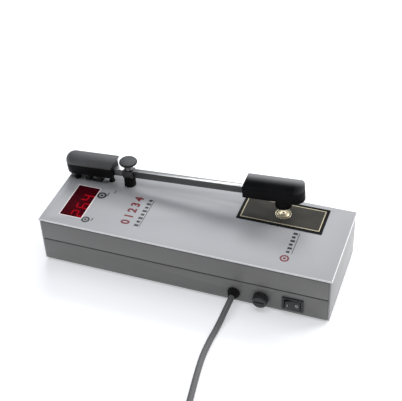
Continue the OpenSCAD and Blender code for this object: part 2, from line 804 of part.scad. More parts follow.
module aperture_bush() color([0.8, 0.66, 0.35])
  difference() {
    union() {
      rod(spot_x, arm_y, top_z, top_z + bush_rim_h, bush_r);
      rod(spot_x, arm_y, bush_foot, top_z + eps, dome_r);
      intersection() {
        rod(spot_x, arm_y, top_z + bush_rim_h - eps, dome_z, dome_r);
        translate([spot_x, arm_y, dome_z - crown_r]) sphere(r = crown_r, $fn = fine);
      }
    }
    rod(spot_x, arm_y, bush_foot - eps, dome_z + eps, spot_r);
    rod(spot_x, arm_y, bush_foot - eps, dome_z - 2, diffuser_r);
  }

diffuser_t = 1.5;
diffuser_z = bush_foot + 2;

module diffuser() color([0.95, 0.95, 0.92])
  rod(spot_x, arm_y, diffuser_z, diffuser_z + diffuser_t, diffuser_r - 0.05);

house_top = bush_foot - 0.5;
house_flange_t = 1.5;
house_vent_w = 4;
house_vent_h = 12;
house_vent_up = 8;

module lamp_house() color([0.6, 0.6, 0.62])
  difference() {
    union() {
      rod(spot_x, arm_y, floor_z, house_top, lamp_house_r);
      rod(spot_x, arm_y, floor_z, floor_z + house_flange_t, lamp_house_r + house_flange);
    }
    rod(spot_x, arm_y, floor_z - eps, house_top - lamp_house_wall, lamp_house_r - lamp_house_wall);
    rod(spot_x, arm_y, floor_z, house_top + eps, diffuser_r);
    for (a = [0 : 60 : 300]) translate([spot_x, arm_y, floor_z + house_vent_up]) rotate([0, 0, a])
      translate([lamp_house_r / 2, -house_vent_w / 2, 0])
        cube([lamp_house_r, house_vent_w, house_vent_h]);
  }

socket_h = 14;

module lamp_socket() color([0.9, 0.88, 0.82])
  difference() {
    union() {
      rod(spot_x, arm_y, floor_z, floor_z + 2, lamp_house_r - lamp_house_wall - fit);
      rod(spot_x, arm_y, floor_z, floor_z + socket_h, lamp_r + 2);
    }
    rod(spot_x, arm_y, floor_z + 3, floor_z + socket_h + eps, lamp_r + fit);
  }

module lamp() color([0.95, 0.93, 0.8]) {
  rod(spot_x, arm_y, floor_z + 3, floor_z + socket_h + 1, lamp_r);
  translate([spot_x, arm_y, floor_z + socket_h + 1]) rotate_extrude($fn = fine)
    intersection() {
      square([lamp_r, 3 * lamp_r]);
      union() {
        translate([0, lamp_r]) circle(r = lamp_r, $fn = fine);
        square([lamp_r - 0.8, lamp_r]);
      }
    }
}

/* ---- hinge ---- */

bracket_screw_r = 1.5;
bracket_screw_in = 3.2;
bracket_screw_l = bracket_t + cover_t + sheet_t + 1;
function bracket_screws_at() =
  [pivot_x + bracket_fore - bracket_l + bracket_screw_in, pivot_x + bracket_fore - bracket_screw_in];

ear_r = 4;
ear_foot_in = 0.6;
ear_leg = 4.6;
foot_window_edge = 0.4; // left between the window in the foot and the screws' heads

// One ear of the bracket, seen from the front: two legs that meet round the pin.
module ear_outline() {
  back_x = bracket_fore - bracket_l + ear_foot_in;
  fore_x = bracket_fore - ear_foot_in;
  arch_r = (fore_x - back_x) / 2 - ear_leg;
  difference() {
    hull() {
      circle(r = ear_r, $fn = 32);
      translate([back_x, -pivot_h + bracket_t / 2]) square([fore_x - back_x, eps]);
    }
    translate([back_x + ear_leg, -pivot_h]) square([2 * arch_r, ear_r]);
    translate([(back_x + fore_x) / 2, -pivot_h + ear_r]) scale([1, 0.6]) circle(r = arch_r, $fn = 32);
  }
}

foot_window_in = head_wide * bracket_screw_r + foot_window_edge;

module hinge_bracket() color([0.08, 0.08, 0.08])
  difference() {
    union() {
      slab(pivot_x + bracket_fore - bracket_l, pivot_x + bracket_fore, arm_y - ear_out, arm_y + ear_out,
        top_z, top_z + bracket_t);
      for (s = [-1, 1]) translate([pivot_x, arm_y + (s > 0 ? ear_out : -ear_in), pivot_z])
        rotate([90, 0, 0]) linear_extrude(bracket_t) ear_outline();
    }
    cross_rod(pivot_x, pivot_z, arm_y - far / 2, arm_y + far / 2, pin_r + ear_fit);
    for (x = bracket_screws_at())
      rod(x, arm_y, top_z - eps, top_z + bracket_t + eps, bracket_screw_r + fit);
    slab(bracket_screws_at()[0] + foot_window_in, bracket_screws_at()[1] - foot_window_in,
      arm_y - ear_in + foot_window_edge, arm_y + ear_in - foot_window_edge, top_z - eps,
      top_z + bracket_t + eps);
  }

module bracket_screws() color([0.6, 0.6, 0.6])
  for (x = bracket_screws_at()) translate([x, arm_y, top_z + bracket_t]) rotate([180, 0, 0])
    screw(bracket_screw_r, bracket_screw_l);

groove_d = 0.3;

// Places a ring round the pin outside each ear.
module at_clips()
  for (s = [-1, 1]) translate([pivot_x, arm_y + s * clip_at, pivot_z]) rotate([90, 0, 0]) children();

module pivot_pin() color([0.78, 0.78, 0.78])
  difference() {
    cross_rod(pivot_x, pivot_z, arm_y - pin_l_half, arm_y + pin_l_half, pin_r);
    at_clips() difference() {
      cylinder(h = clip_t + fit, r = pin_r + 1, center = true, $fn = fine);
      cylinder(h = 2 * clip_t, r = pin_r - groove_d, center = true, $fn = fine);
    }
  }

module pin_clips() color([0.5, 0.5, 0.52])
  at_clips() difference() {
    cylinder(h = clip_t, r = pin_r + 1.3, center = true, $fn = fine);
    cylinder(h = 2 * clip_t, r = pin_r - groove_d + thread_fit, center = true, $fn = fine);
    translate([0, -pin_r - 1, 0]) cube([pin_r, 2 * pin_r, 2 * clip_t], center = true);
  }

grommet_r = lead_d / 2 + 1;
grommet_lip = 1.2;
grommet_h = 1.2;

module lead_grommet() color([0.06, 0.06, 0.06])
  difference() {
    union() {
      rod(lead_x, lead_y, web_z - grommet_h, top_z + grommet_h, grommet_r);
      rod(lead_x, lead_y, top_z, top_z + grommet_h, grommet_r + grommet_lip);
      rod(lead_x, lead_y, web_z - grommet_h, web_z, grommet_r + grommet_lip);
    }
    rod(lead_x, lead_y, web_z - far, top_z + far, lead_d / 2 + thread_fit);
  }

module sensor_lead() color([0.06, 0.06, 0.06])
  tube(lead_route, lead_d / 2, 8, [0, 1, 0]);

/* ---- post and knob ---- */

stud_below = 4;
nut_h = 3;
nut_r = 4;
nut_fit = 0.02;

module post_stud() color([0.75, 0.75, 0.75])
  rod(post_x, arm_y, web_z - stud_below, stud_top, stud_r);

module stud_nut() color([0.75, 0.75, 0.75])
  difference() {
    translate([post_x, arm_y, web_z - nut_h]) cylinder(h = nut_h, r = nut_r, $fn = 6);
    rod(post_x, arm_y, web_z - stud_below, web_z + eps, stud_r + nut_fit);
  }

boot_fold = 0.8;
boot_folds = 3;
boot_rim_h = 1.6;
boot_first = 3.4;
boot_last = 1;

boot_span = boss_foot - top_z - boot_first - boot_last;

// A ribbed rubber sleeve, its top cut to the slope of the bar.
module spring_boot() color([0.05, 0.05, 0.05])
  difference() {
    union() {
      rod(post_x, arm_y, top_z, boss_foot + 1, boot_r - boot_fold);
      rod(post_x, arm_y, top_z, top_z + boot_rim_h, boot_r);
      for (i = [0 : boot_folds - 1])
        translate([post_x, arm_y, top_z + boot_first + i * boot_span / (boot_folds - 1)])
          rotate_extrude($fn = fine)
            translate([boot_r - 2 * boot_fold, 0]) circle(r = 2 * boot_fold, $fn = 32);
    }
    rod(post_x, arm_y, top_z - eps, boss_foot + 2, boot_bore);
    on_arm() translate([post_at - far / 2, -far / 2, bar_foot - fit]) cube(far);
  }

module return_spring() color([0.6, 0.6, 0.6])
  tube(spring_route, spring_wire / 2, 6);

stop_lip = 0.8;
stop_edge = 0.5;
stop_below = 4;
stop_stem_r = 1.25;

module down_stop() color([0.06, 0.06, 0.06]) {
  translate([stop_x, arm_y, top_z]) rotate_extrude($fn = fine)
    difference() {
      union() {
        square([stop_r, stop_z - top_z]);
        square([stop_r + stop_lip, stop_lip]);
      }
      translate([stop_r - stop_edge, stop_z - top_z - stop_edge]) difference() {
        square(2 * stop_edge);
        circle(r = stop_edge, $fn = 24);
      }
    }
  rod(stop_x, arm_y, web_z - stop_below, top_z + eps, stop_stem_r);
}

knob_edge = 1;
knob_steps = 16;

// The knob's outline: a rounded rim, then half an ellipse up to its crown.
function knob_outline() = concat(
  [[0, knob_z]],
  [for (i = [-knob_steps / 4 : 0])
    let (a = 360 * i / knob_steps)
    [knob_r - knob_edge + knob_edge * cos(a), knob_z + knob_edge + knob_edge * sin(a)]],
  [for (i = [1 : knob_steps])
    let (a = 90 * i / knob_steps)
    [knob_r * cos(a), knob_z + knob_edge + (knob_h - knob_edge) * sin(a)]]
);

module knob_washer() color([0.1, 0.1, 0.1])
  difference() {
    rod(post_x, arm_y, washer_z, washer_z + washer_t, neck_r);
    rod(post_x, arm_y, washer_z - eps, washer_z + washer_t + eps, stud_r + fit);
  }

module height_knob() color([0.14, 0.14, 0.15])
  difference() {
    translate([post_x, arm_y, 0]) rotate_extrude($fn = fine)
      union() {
        translate([0, neck_z]) square([neck_r, neck_h + eps]);
        polygon(knob_outline());
      }
    rod(post_x, arm_y, neck_z - eps, stud_top + 0.5, stud_r + knob_fit);
  }

/* ---- arm, drawn level round its pivot ---- */

arm_screw_r = 1.25;
arm_screw_l = bar_h + 4;
head_screw_in = 7;
head_screw_pitch = 11;
screw_by_stop = 0.9; // left between the rear screw's head and the down stop
function head_screws_at() = [head_x + head_screw_in, head_x + head_screw_in + head_screw_pitch];
rear_screw_x = stop_x - stop_r - screw_by_stop - head_wide * arm_screw_r - pivot_x;
rib_t = 1.5;
rib_off = 4.5;
cap_boss_r = 3;

module arm_bar() color([0.62, 0.62, 0.6])
  on_arm() difference() {
    translate([bar_start, -bar_w / 2, bar_foot]) cube([head_x + bar_in_head - bar_start, bar_w, bar_h]);
    translate([bar_start - eps, -bar_w / 2 + bar_wall, bar_foot + bar_wall])
      cube([head_x + bar_in_head - bar_start + 2 * eps, bar_w - 2 * bar_wall, bar_h - 2 * bar_wall]);
    rotate([90, 0, 0]) cylinder(h = far, r = pin_r + pin_fit, center = true, $fn = fine);
    translate([post_at - boss_l / 2, -bar_w, -bar_h]) cube([boss_l, 2 * bar_w, 2 * bar_h]);
    for (x = concat(head_screws_at(), [rear_screw_x])) translate([x, 0, 0])
      cylinder(h = far, r = arm_screw_r + fit, center = true, $fn = 32);
  }

boss_play = 0.7;

// The bar is in two lengths that meet in the boss.
module bar_boss() color([0.7, 0.7, 0.68])
  on_arm() difference() {
    translate([post_at - boss_l / 2, -boss_w / 2, bar_foot]) cube([boss_l, boss_w, bar_h]);
    translate([post_at, 0, 0]) cylinder(h = far, r = stud_r + boss_play, center = true, $fn = fine);
  }

block_l = 12;
block_top = 8;

module pivot_block() color([0.72, 0.6, 0.3])
  on_arm() difference() {
    translate([-block_l / 2, -block_w / 2, bar_foot]) cube([block_l, block_w, block_top - bar_foot]);
    translate([-block_l, -bar_w / 2, bar_foot - eps]) cube([2 * block_l, bar_w, bar_h + eps]);
    rotate([90, 0, 0]) cylinder(h = far, r = pin_r + pin_fit, center = true, $fn = fine);
  }

// Lower half of a housing along +X: upright sides and a rounded far end.
module tub(l, r, z0, z1) {
  translate([0, -r, z0]) cube([l - r, 2 * r, z1 - z0]);
  translate([l - r, 0, z0]) cylinder(h = z1 - z0, r = r, $fn = fine);
}

cap_over = 0.3; // how much wider the round of an upright end is than the cap
cap_crown = 1; // how far that round stands over the cap before the cut

// The section of a cap: half a disc.
module half_disc(r)
  intersection() {
    circle(r = r, $fn = fine);
    translate([-r, 0]) square([2 * r, r]);
  }

// The far end of a cap: domed, or upright with a round corner at its top.
module cap_end(l, r, corner) {
  if (corner == 0) translate([l - r, 0, 0]) rotate_extrude($fn = fine)
    intersection() {
      circle(r = r, $fn = fine);
      square([r, r]);
    }
  else intersection() {
    translate([l - r - cap_over, 0, 0]) rotate([90, 0, 90]) linear_extrude(2 * r) half_disc(r);
    translate([l - r - cap_over, 0, 0]) rotate_extrude($fn = fine) union() {
      square([r + cap_over, r + cap_crown - corner]);
      square([r + cap_over - corner, r + cap_crown]);
      translate([r + cap_over - corner, r + cap_crown - corner]) circle(r = corner, $fn = fine);
    }
  }
}

// The form of a cap along +X on its seam: a half round. Its flat end leans back as it rises, or out where
// lean is under zero. Inset draws it in on every side but the seam.
module cap_form(l, lean, corner, inset) {
  r = hood_r - inset;
  start = inset / cos(lean);
  reach_out = max(0, -hood_w * tan(lean)); // past the plane that cuts the flat end
  run = l - inset - r - (corner > 0 ? cap_over : 0);
  difference() {
    union() {
      translate([-reach_out, 0, 0]) rotate([90, 0, 90]) linear_extrude(run + reach_out) half_disc(r);
      cap_end(l - inset, r, corner > 0 ? corner - inset : 0);
    }
    translate([start, -far / 2, 0]) rotate([0, lean, 0]) translate([-far, 0, -far / 2]) cube(far);
  }
}

// A hollow cap with screw bosses that stand on the bar.
module cap(l, lean, corner, bosses) {
  difference() {
    translate([0, 0, seam_in_hood]) cap_form(l, lean, corner, 0);
    translate([0, 0, seam_in_hood - eps]) cap_form(l, lean, corner, hood_wall);
  }
  for (x = bosses) difference() {
    intersection() {
      translate([x, 0, bar_h / 2]) cylinder(h = hood_w, r = cap_boss_r, $fn = 32);
      union() {
        translate([0, 0, seam_in_hood]) cap_form(l, lean, corner, hood_wall / 2);
        tub(l, tub_r - hood_wall, bar_foot, seam_in_hood);
      }
    }
    translate([x, 0, bar_h / 2 - eps]) cylinder(h = bar_h / 2 + 1, r = tapped_r(arm_screw_r), $fn = 24);
  }
}

// The walls of a lower half, with a notch for the bar in its flat end and ribs that hold the bar.
module tub_walls(l, ribs) {
  difference() {
    tub(l, tub_r, bar_foot, seam_in_hood);
    translate([hood_wall, 0, 0])
      tub(l - 2 * hood_wall, tub_r - hood_wall, bar_foot - eps, seam_in_hood + eps);
    translate([-eps, -bar_w / 2, bar_foot - eps]) cube([hood_wall + 2 * eps, bar_w, bar_h + eps]);
  }
  for (x = ribs, s = [-1, 1])
    translate([x - rib_t / 2, s > 0 ? bar_w / 2 : -tub_r + hood_wall / 2, bar_foot])
      cube([rib_t, tub_r - hood_wall / 2 - bar_w / 2, bar_h]);
}

module head_cap() color([0.07, 0.07, 0.07])
  on_arm() translate([head_x, 0, 0])
    cap(head_l, head_lean, head_round, [for (x = head_screws_at()) x - head_x]);

// The head's lower half has a floor in front of the bar, with a hole for the nose.
module head_body() color([0.06, 0.06, 0.06])
  on_arm() difference() {
    translate([head_x, 0, 0]) union() {
      tub_walls(head_l, [rib_off, head_screw_in + head_screw_pitch / 2, bar_in_head - rib_t]);
      intersection() {
        translate([bar_in_head + fit, -tub_r, bar_foot]) cube([head_l, 2 * tub_r, hood_wall]);
        tub(head_l, tub_r - eps, bar_foot, seam_in_hood);
      }
    }
    translate([nose_x, 0, bar_foot - eps])
      cylinder(h = hood_wall + 2 * eps, r = nose_spigot_r + thread_fit, $fn = fine);
  }

module rear_cap() color([0.22, 0.22, 0.22])
  on_arm() translate([rear_front, 0, 0]) mirror([1, 0, 0])
    cap(rear_l, -rear_lean, 0, [rear_front - rear_screw_x]);

module rear_body() color([0.06, 0.06, 0.06])
  on_arm() translate([rear_front, 0, 0]) mirror([1, 0, 0])
    tub_walls(rear_l, [for (s = [-1, 1]) rear_front - rear_screw_x + s * rib_off]);

module arm_screws() color([0.6, 0.6, 0.6])
  on_arm() for (x = concat(head_screws_at(), [rear_screw_x])) translate([x, 0, bar_foot])
    screw(arm_screw_r, arm_screw_l);

nose_spigot_r = 6.35;
sight_r = spot_r + 1;
nose_over = 1.5; // how far the spigot stands up through the head's floor
nose_top = bar_foot + hood_wall + nose_over;
cell_r = 4.5;
cell_seat = nose_foot + 4; // height of the ledge under the filter

// The nose stands square to the arm; its sole is cut to lie flat on the film.
module sensor_nose() color([0.05, 0.05, 0.05])
  difference() {
    on_arm() translate([nose_x, 0, 0]) difference() {
      union() {
        translate([0, 0, nose_foot - nose_r])
          cylinder(h = bar_foot - nose_foot + nose_r, r = nose_r, $fn = fine);
        translate([0, 0, bar_foot - eps])
          cylinder(h = nose_top - bar_foot + eps, r = nose_spigot_r, $fn = fine);
      }
      cylinder(h = far, r = sight_r, center = true, $fn = fine);
      translate([0, 0, cell_seat]) cylinder(h = far, r = cell_r + thread_fit, $fn = fine);
    }
    translate([pivot_x, arm_y, pivot_z]) rotate([0, -press_deg, 0])
      translate([-far, -far / 2, dome_z + film_gap - pivot_z - far]) cube([2 * far, far, far]);
  }

filter_t = 2;
cell_h = 2.5;
cell_leg_r = 0.35;
cell_leg_l = 5;
cell_leg_x = 1.3;

module filter_glass() color([0.3, 0.5, 0.3])
  on_arm() translate([nose_x, 0, cell_seat]) cylinder(h = filter_t, r = cell_r, $fn = fine);

module photocell() color([0.3, 0.3, 0.35])
  on_arm() translate([nose_x, 0, cell_seat + filter_t]) {
    cylinder(h = cell_h, r = cell_r, $fn = fine);
    for (s = [-1, 1]) translate([s * cell_leg_x, 0, cell_h - eps])
      cylinder(h = cell_leg_l, r = cell_leg_r, $fn = 16);
  }

/* ---- front fittings ---- */

gland_tail = 14;
gland_rim = 2.6;

module cord_gland() color([0.05, 0.05, 0.05])
  front_turned(gland_x, gland_z) polygon([
    [0, -gland_tail], [cord_d / 2 + 1, -gland_tail], [gland_hole_r - fit, -sheet_t - 1],
    [gland_hole_r - fit, 0],
    [gland_r, 0], [gland_r, gland_rim - 1], [gland_r - 0.8, gland_rim], [cord_d / 2 + 2, gland_rim + 0.4],
    [cord_d / 2 + 0.7, gland_out], [0, gland_out]
  ]);

holder_l = 32;
holder_nut_r = 8.4;
holder_nut_t = 3;

module fuse_holder() color([0.06, 0.06, 0.06])
  difference() {
    union() {
      front_turned(fuse_x, fuse_z) polygon([
        [0, -holder_l], [fuse_shank_r - 1, -holder_l], [fuse_shank_r, -holder_l + 1], [fuse_shank_r, 0],
        [fuse_cap_r, 0], [fuse_cap_r, fuse_flange_t - 0.4], [fuse_cap_r - 0.4, fuse_flange_t],
        [0, fuse_flange_t]
      ]);
      translate([fuse_x, front_y + sheet_t + holder_nut_t, fuse_z]) rotate([90, 0, 0])
        cylinder(h = holder_nut_t, r = holder_nut_r, $fn = 6);
    }
    cross_rod(fuse_x, fuse_z, front_y - fuse_flange_t - eps, front_y + holder_l - 2, fuse_bore_r);
  }

cap_groove_r = 0.5;
cap_grooves = 18;
cap_under = 0.3; // how much narrower the cap is than its flange
coin_l = 5;
coin_w = 0.7;
coin_d = 1.2;
link_fit = 0.08;

module fuse_cap() color([0.05, 0.05, 0.05])
  difference() {
    front_turned(fuse_x, fuse_z) polygon([
      [0, -spigot_l], [spigot_r, -spigot_l], [spigot_r, fuse_flange_t + fit],
      [fuse_cap_r - cap_under, fuse_flange_t + fit], [fuse_cap_r - cap_under, fuse_cap_l - 1],
      [fuse_cap_r - cap_under - 1, fuse_cap_l], [0, fuse_cap_l]
    ]);
    for (i = [0 : cap_grooves - 1]) translate([fuse_x, 0, fuse_z])
      rotate([0, 360 * i / cap_grooves, 0])
        translate([fuse_cap_r - cap_under + fit, front_y - fuse_flange_t - 1, 0])
        rotate([90, 0, 0]) cylinder(h = fuse_cap_l, r = cap_groove_r, $fn = 16);
    slab(fuse_x - coin_l, fuse_x + coin_l, front_y - fuse_cap_l - eps, front_y - fuse_cap_l + coin_d,
      fuse_z - coin_w, fuse_z + coin_w);
    cross_rod(fuse_x, fuse_z, fuse_start, front_y + spigot_l + eps, fuse_r + link_fit);
  }

module fuse_link() color([0.8, 0.8, 0.8])
  cross_rod(fuse_x, fuse_z, fuse_start + fit, fuse_start + fit + fuse_l, fuse_r);

tab_x = 5;
tab_t = 0.8;
tab_w = 4.8;
tab_l = 7;
rocker_well = 8;

module switch_frame() color([0.05, 0.05, 0.05])
  difference() {
    union() {
      slab(switch_x - bezel_w / 2, switch_x + bezel_w / 2, front_y - bezel_t, front_y,
        switch_z - bezel_h / 2, switch_z + bezel_h / 2);
      slab(switch_x - switch_body_w / 2, switch_x + switch_body_w / 2, front_y - eps,
        front_y + switch_depth, switch_z - switch_body_h / 2, switch_z + switch_body_h / 2);
      for (s = [-1, 1]) slab(switch_x + s * tab_x - tab_t / 2, switch_x + s * tab_x + tab_t / 2,
        front_y + switch_depth - eps, front_y + switch_depth + tab_l, switch_z - tab_w / 2,
        switch_z + tab_w / 2);
    }
    slab(switch_x - rocker_w / 2 - touch, switch_x + rocker_w / 2 + touch, front_y - bezel_t - eps,
      front_y + rocker_well, switch_z - rocker_h / 2 - touch, switch_z + rocker_h / 2 + touch);
  }

rocker_nose = rocker_face + 1;
rocker_back = 3;
rocker_fall = rocker_nose + rocker_w * tan(rocker_deg / 2);

// The rocker's face is a shallow V. At rest its right half lies pressed in.
module switch_rocker() color([0.08, 0.08, 0.08])
  translate([switch_x, rocker_pivot_y, switch_z]) rotate([0, 0, rocker_deg / 2])
    translate([0, 0, -rocker_h / 2]) linear_extrude(rocker_h)
      difference() {
        circle(r = rocker_w / 2, $fn = fine);
        polygon([
          [0, -rocker_nose], [rocker_w, -rocker_fall], [rocker_w, -2 * rocker_w],
          [-rocker_w, -2 * rocker_w], [-rocker_w, -rocker_fall]
        ]);
        translate([-rocker_w, rocker_back]) square([2 * rocker_w, rocker_w]);
      }

/* ---- cord and plug ---- */

module mains_cord() color([0.42, 0.42, 0.42])
  tube(cord_route, cord_d / 2, cord_sides);

module cord_coil() color([0.42, 0.42, 0.42])
  tube(coil_route, cord_d / 2, coil_sides);

echo(coil_gap = least_gap(coil_route, coil_rings / 2, cord_d));

tie_w = 9;
tie_t = 0.7;
tie_in = coil_out - coil_pitch * (coil_turns_in + 0.25) - cord_d / 2 - 1;
tie_out = coil_out + cord_d / 2 + 0.4;
tie_top = tail_z + cord_d / 2 + tie_t + 0.2;

module cord_tie() color([0.05, 0.05, 0.05])
  translate([coil_x, coil_y, 0]) rotate([90, 0, 90]) translate([0, 0, -tie_w / 2])
    linear_extrude(tie_w) difference() {
      translate([tie_in - tie_t, 0]) square([tie_out - tie_in + 2 * tie_t, tie_top]);
      translate([tie_in, tie_t]) square([tie_out - tie_in, tie_top - 2 * tie_t]);
    }

module mains_plug() color([0.05, 0.05, 0.05])
  translate([plug_x, tail_y, tail_z]) {
    rotate([0, 90, 0]) rotate_extrude($fn = fine) polygon([
      [0, -1], [6.5, -1], [5.6, 3], [cord_d / 2 + 0.8, relief_l], [0, relief_l]
    ]);
    hull() {
      translate([-plug_l, 0, 0]) rotate([0, 90, 0]) linear_extrude(plug_l * 0.5)
        plug_outline(plug_t, plug_w, 5);
      translate([-eps, 0, 0]) rotate([0, 90, 0]) linear_extrude(eps) plug_outline(14, 18, 5);
    }
  }

module plug_outline(h, w, r) {
  hull() for (s = [-1, 1], t = [-1, 1]) translate([s * (h / 2 - r), t * (w / 2 - r)]) circle(r = r, $fn = 24);
}

module plug_pins() color([0.8, 0.75, 0.55])
  translate([plug_x - plug_l, tail_y, tail_z]) {
    for (s = [-1, 1]) translate([0, s * 6.9, 4]) rotate([s * 30, 0, 0]) pin_blade(pin_l);
    translate([0, 0, -6]) pin_blade(pin_l + 2);
  }

module pin_blade(l) {
  translate([-l, -0.8, -3.2]) cube([l, 1.6, 6.4]);
}

base_tray();
upper_shell();
cover_plate();
end_plate_left();
end_plate_right();
case_screws();
feet();
display_window();
display_digits();
display_board();
main_board();
board_parts();
board_standoffs();
transformer_core();
transformer_coil();
stage_plate();
aperture_bush();
diffuser();
lamp_house();
lamp_socket();
lamp();
hinge_bracket();
bracket_screws();
pivot_pin();
pin_clips();
post_stud();
stud_nut();
spring_boot();
return_spring();
down_stop();
lead_grommet();
sensor_lead();
cord_gland();
fuse_holder();
switch_frame();
mains_cord();
cord_coil();
cord_tie();
mains_plug();
plug_pins();
arm_bar();
bar_boss();
pivot_block();
rear_cap();
rear_body();
head_cap();
head_body();
arm_screws();
sensor_nose();
filter_glass();
photocell();
knob_washer();
height_knob();
switch_rocker();
fuse_cap();
fuse_link();
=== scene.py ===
import json
import math
from contextlib import contextmanager

import bmesh
import bpy
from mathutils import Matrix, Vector
from mathutils.bvhtree import BVHTree


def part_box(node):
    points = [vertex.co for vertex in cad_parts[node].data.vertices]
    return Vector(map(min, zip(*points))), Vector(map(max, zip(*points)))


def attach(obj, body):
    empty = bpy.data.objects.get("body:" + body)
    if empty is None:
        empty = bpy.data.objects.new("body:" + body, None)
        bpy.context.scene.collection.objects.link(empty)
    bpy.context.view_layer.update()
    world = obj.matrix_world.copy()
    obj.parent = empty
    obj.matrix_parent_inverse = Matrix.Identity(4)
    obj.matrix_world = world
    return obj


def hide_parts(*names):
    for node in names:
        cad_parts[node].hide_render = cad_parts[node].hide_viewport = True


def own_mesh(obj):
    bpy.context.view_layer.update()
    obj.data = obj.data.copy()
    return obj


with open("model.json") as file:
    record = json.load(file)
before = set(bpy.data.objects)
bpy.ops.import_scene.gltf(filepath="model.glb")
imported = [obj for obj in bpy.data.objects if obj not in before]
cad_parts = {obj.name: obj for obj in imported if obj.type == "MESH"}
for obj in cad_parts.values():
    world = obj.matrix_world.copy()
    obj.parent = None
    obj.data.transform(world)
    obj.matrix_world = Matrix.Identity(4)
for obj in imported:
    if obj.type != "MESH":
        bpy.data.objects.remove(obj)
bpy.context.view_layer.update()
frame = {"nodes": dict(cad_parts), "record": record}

nodes = frame["nodes"]
bodyOf = {n: body for body, members in frame["record"]["behaviour"]["bodies"].items() for n in members}
slotOf = {s["node"]: s["material_slot"] for s in frame["record"]["subparts"]}
armSlope = math.radians(3.87)
bpy.ops.object.select_all(action="DESELECT")
print("frame loaded:", len(nodes), "nodes")

# the camera is fitted to the case's corners in the photograph
camera = {
    "place": (0.271963, -0.678894, 0.682303),
    "turn": (0.881329, 0.039255, 0.344757),
    "sensor": 36,
    "lens": 86.36,
    "shift": (0.0060, -0.0104),
    "clip": (0.01, 30),
}
bpy.ops.object.camera_add(location=camera["place"], rotation=camera["turn"])
view = bpy.context.object
view.name = "camera"
view.data.sensor_width = camera["sensor"]
view.data.lens = camera["lens"]
view.data.shift_x, view.data.shift_y = camera["shift"]
view.data.clip_start, view.data.clip_end = camera["clip"]
bpy.context.scene.camera = view
bpy.context.scene.view_settings.view_transform = "Standard"

lights = {
    "key": {"place": (0.9, 0.75, 0.9), "aim": (0.02, 0.0, 0.04), "size": (0.7, 0.5), "watts": 9.5,
            "colour": (1, 0.98, 0.96)},
    "sky": {"place": (0.1, 0.0, 1.6), "aim": (0, 0, 0), "size": (1.5, 1.5), "watts": 13.5,
            "colour": (0.95, 0.97, 1)},
    "back": {"place": (-0.45, 1.45, 1.45), "aim": (0, 0, 0.05), "size": (1.1, 0.6), "watts": 13,
             "colour": (0.95, 0.97, 1)},
}
for name, light in lights.items():
    bpy.ops.object.light_add(type="AREA", location=light["place"])
    lamp = bpy.context.object
    lamp.name = name
    lamp.data.shape = "RECTANGLE"
    lamp.data.size, lamp.data.size_y = light["size"]
    lamp.data.energy = light["watts"]
    lamp.data.color = light["colour"]
    aim = Vector(light["aim"]) - Vector(light["place"])
    lamp.rotation_euler = aim.to_track_quat("-Z", "Y").to_euler()

studio = {"colour": (0.93, 0.95, 1, 1), "strength": 0.18}
world = bpy.data.worlds.new("studio")
bpy.context.scene.world = world
world.use_nodes = True
world.node_tree.nodes["Background"].inputs["Color"].default_value = studio["colour"]
world.node_tree.nodes["Background"].inputs["Strength"].default_value = studio["strength"]
print("camera and light made")


# a Wire is a shader socket that arithmetic works on
class Wire:
    def __init__(self, finish, socket):
        self.finish = finish
        self.socket = socket

    def math(self, operation, *values):
        return self.finish.node("ShaderNodeMath", {"operation": operation}, values)

    def __add__(self, other):
        return self.math("ADD", self, other)

    __radd__ = __add__

    def __sub__(self, other):
        return self.math("SUBTRACT", self, other)

    def __rsub__(self, other):
        return self.math("SUBTRACT", other, self)

    def __mul__(self, other):
        return self.math("MULTIPLY", self, other)

    __rmul__ = __mul__

    def __truediv__(self, other):
        return self.math("DIVIDE", self, other)

    def __gt__(self, other):
        return self.math("GREATER_THAN", self, other)

    def __lt__(self, other):
        return self.math("LESS_THAN", self, other)

    def __abs__(self):
        return self.math("ABSOLUTE", self)

    def most(self, other):
        return self.math("MAXIMUM", self, other)

    def least(self, other):
        return self.math("MINIMUM", self, other)

    def held(self):
        return self.least(1.0).most(0.0)

    def wave(self):
        return self.math("SINE", self) * 0.5 + 0.5


class Finish:
    def __init__(self, name, **fixed):
        self.material = bpy.data.materials.new(name)
        self.material.use_nodes = True
        self.tree = self.material.node_tree
        self.shader = self.tree.nodes["Principled BSDF"]
        for words, value in fixed.items():
            self.set(words.replace("_", " "), value)
        self.place = self.node("ShaderNodeTexCoord", out="Object")

    def node(self, kind, settings=None, values=(), out=0):
        made = self.tree.nodes.new(kind)
        for key, value in (settings or {}).items():
            setattr(made, key, value)
        for key, value in values.items() if isinstance(values, dict) else enumerate(values):
            if isinstance(value, Wire):
                self.tree.links.new(value.socket, made.inputs[key])
            else:
                made.inputs[key].default_value = value
        return Wire(self, made.outputs[out])

    def set(self, socket, value):
        if isinstance(value, Wire):
            self.tree.links.new(value.socket, self.shader.inputs[socket])
        else:
            self.shader.inputs[socket].default_value = value

    def axes(self):
        split = self.node("ShaderNodeSeparateXYZ", values=[self.place])
        return [Wire(self, o) for o in split.socket.node.outputs]

    def scaled(self, x, y, z):
        return self.node("ShaderNodeMapping", values={"Vector": self.place, "Scale": (x, y, z)})

    def noise(self, scale, detail=2.0, rough=0.5, vector=None):
        return self.node("ShaderNodeTexNoise", values={
            "Vector": vector or self.place, "Scale": scale, "Detail": detail, "Roughness": rough})

    def grain(self, scale):
        return self.node("ShaderNodeTexVoronoi", values={"Vector": self.place, "Scale": scale})

    def brush(self, scales):
        return self.noise(1, 3, 0.6, self.scaled(*scales))

    def mix(self, factor, a, b):
        return self.node("ShaderNodeMix", {"data_type": "RGBA"}, {0: factor, 6: a, 7: b}, out=2)

    def bump(self, height, strength, distance, below=None):
        values = {"Height": height, "Strength": strength, "Distance": distance}
        if below:
            values["Normal"] = below
        return self.node("ShaderNodeBump", values=values)


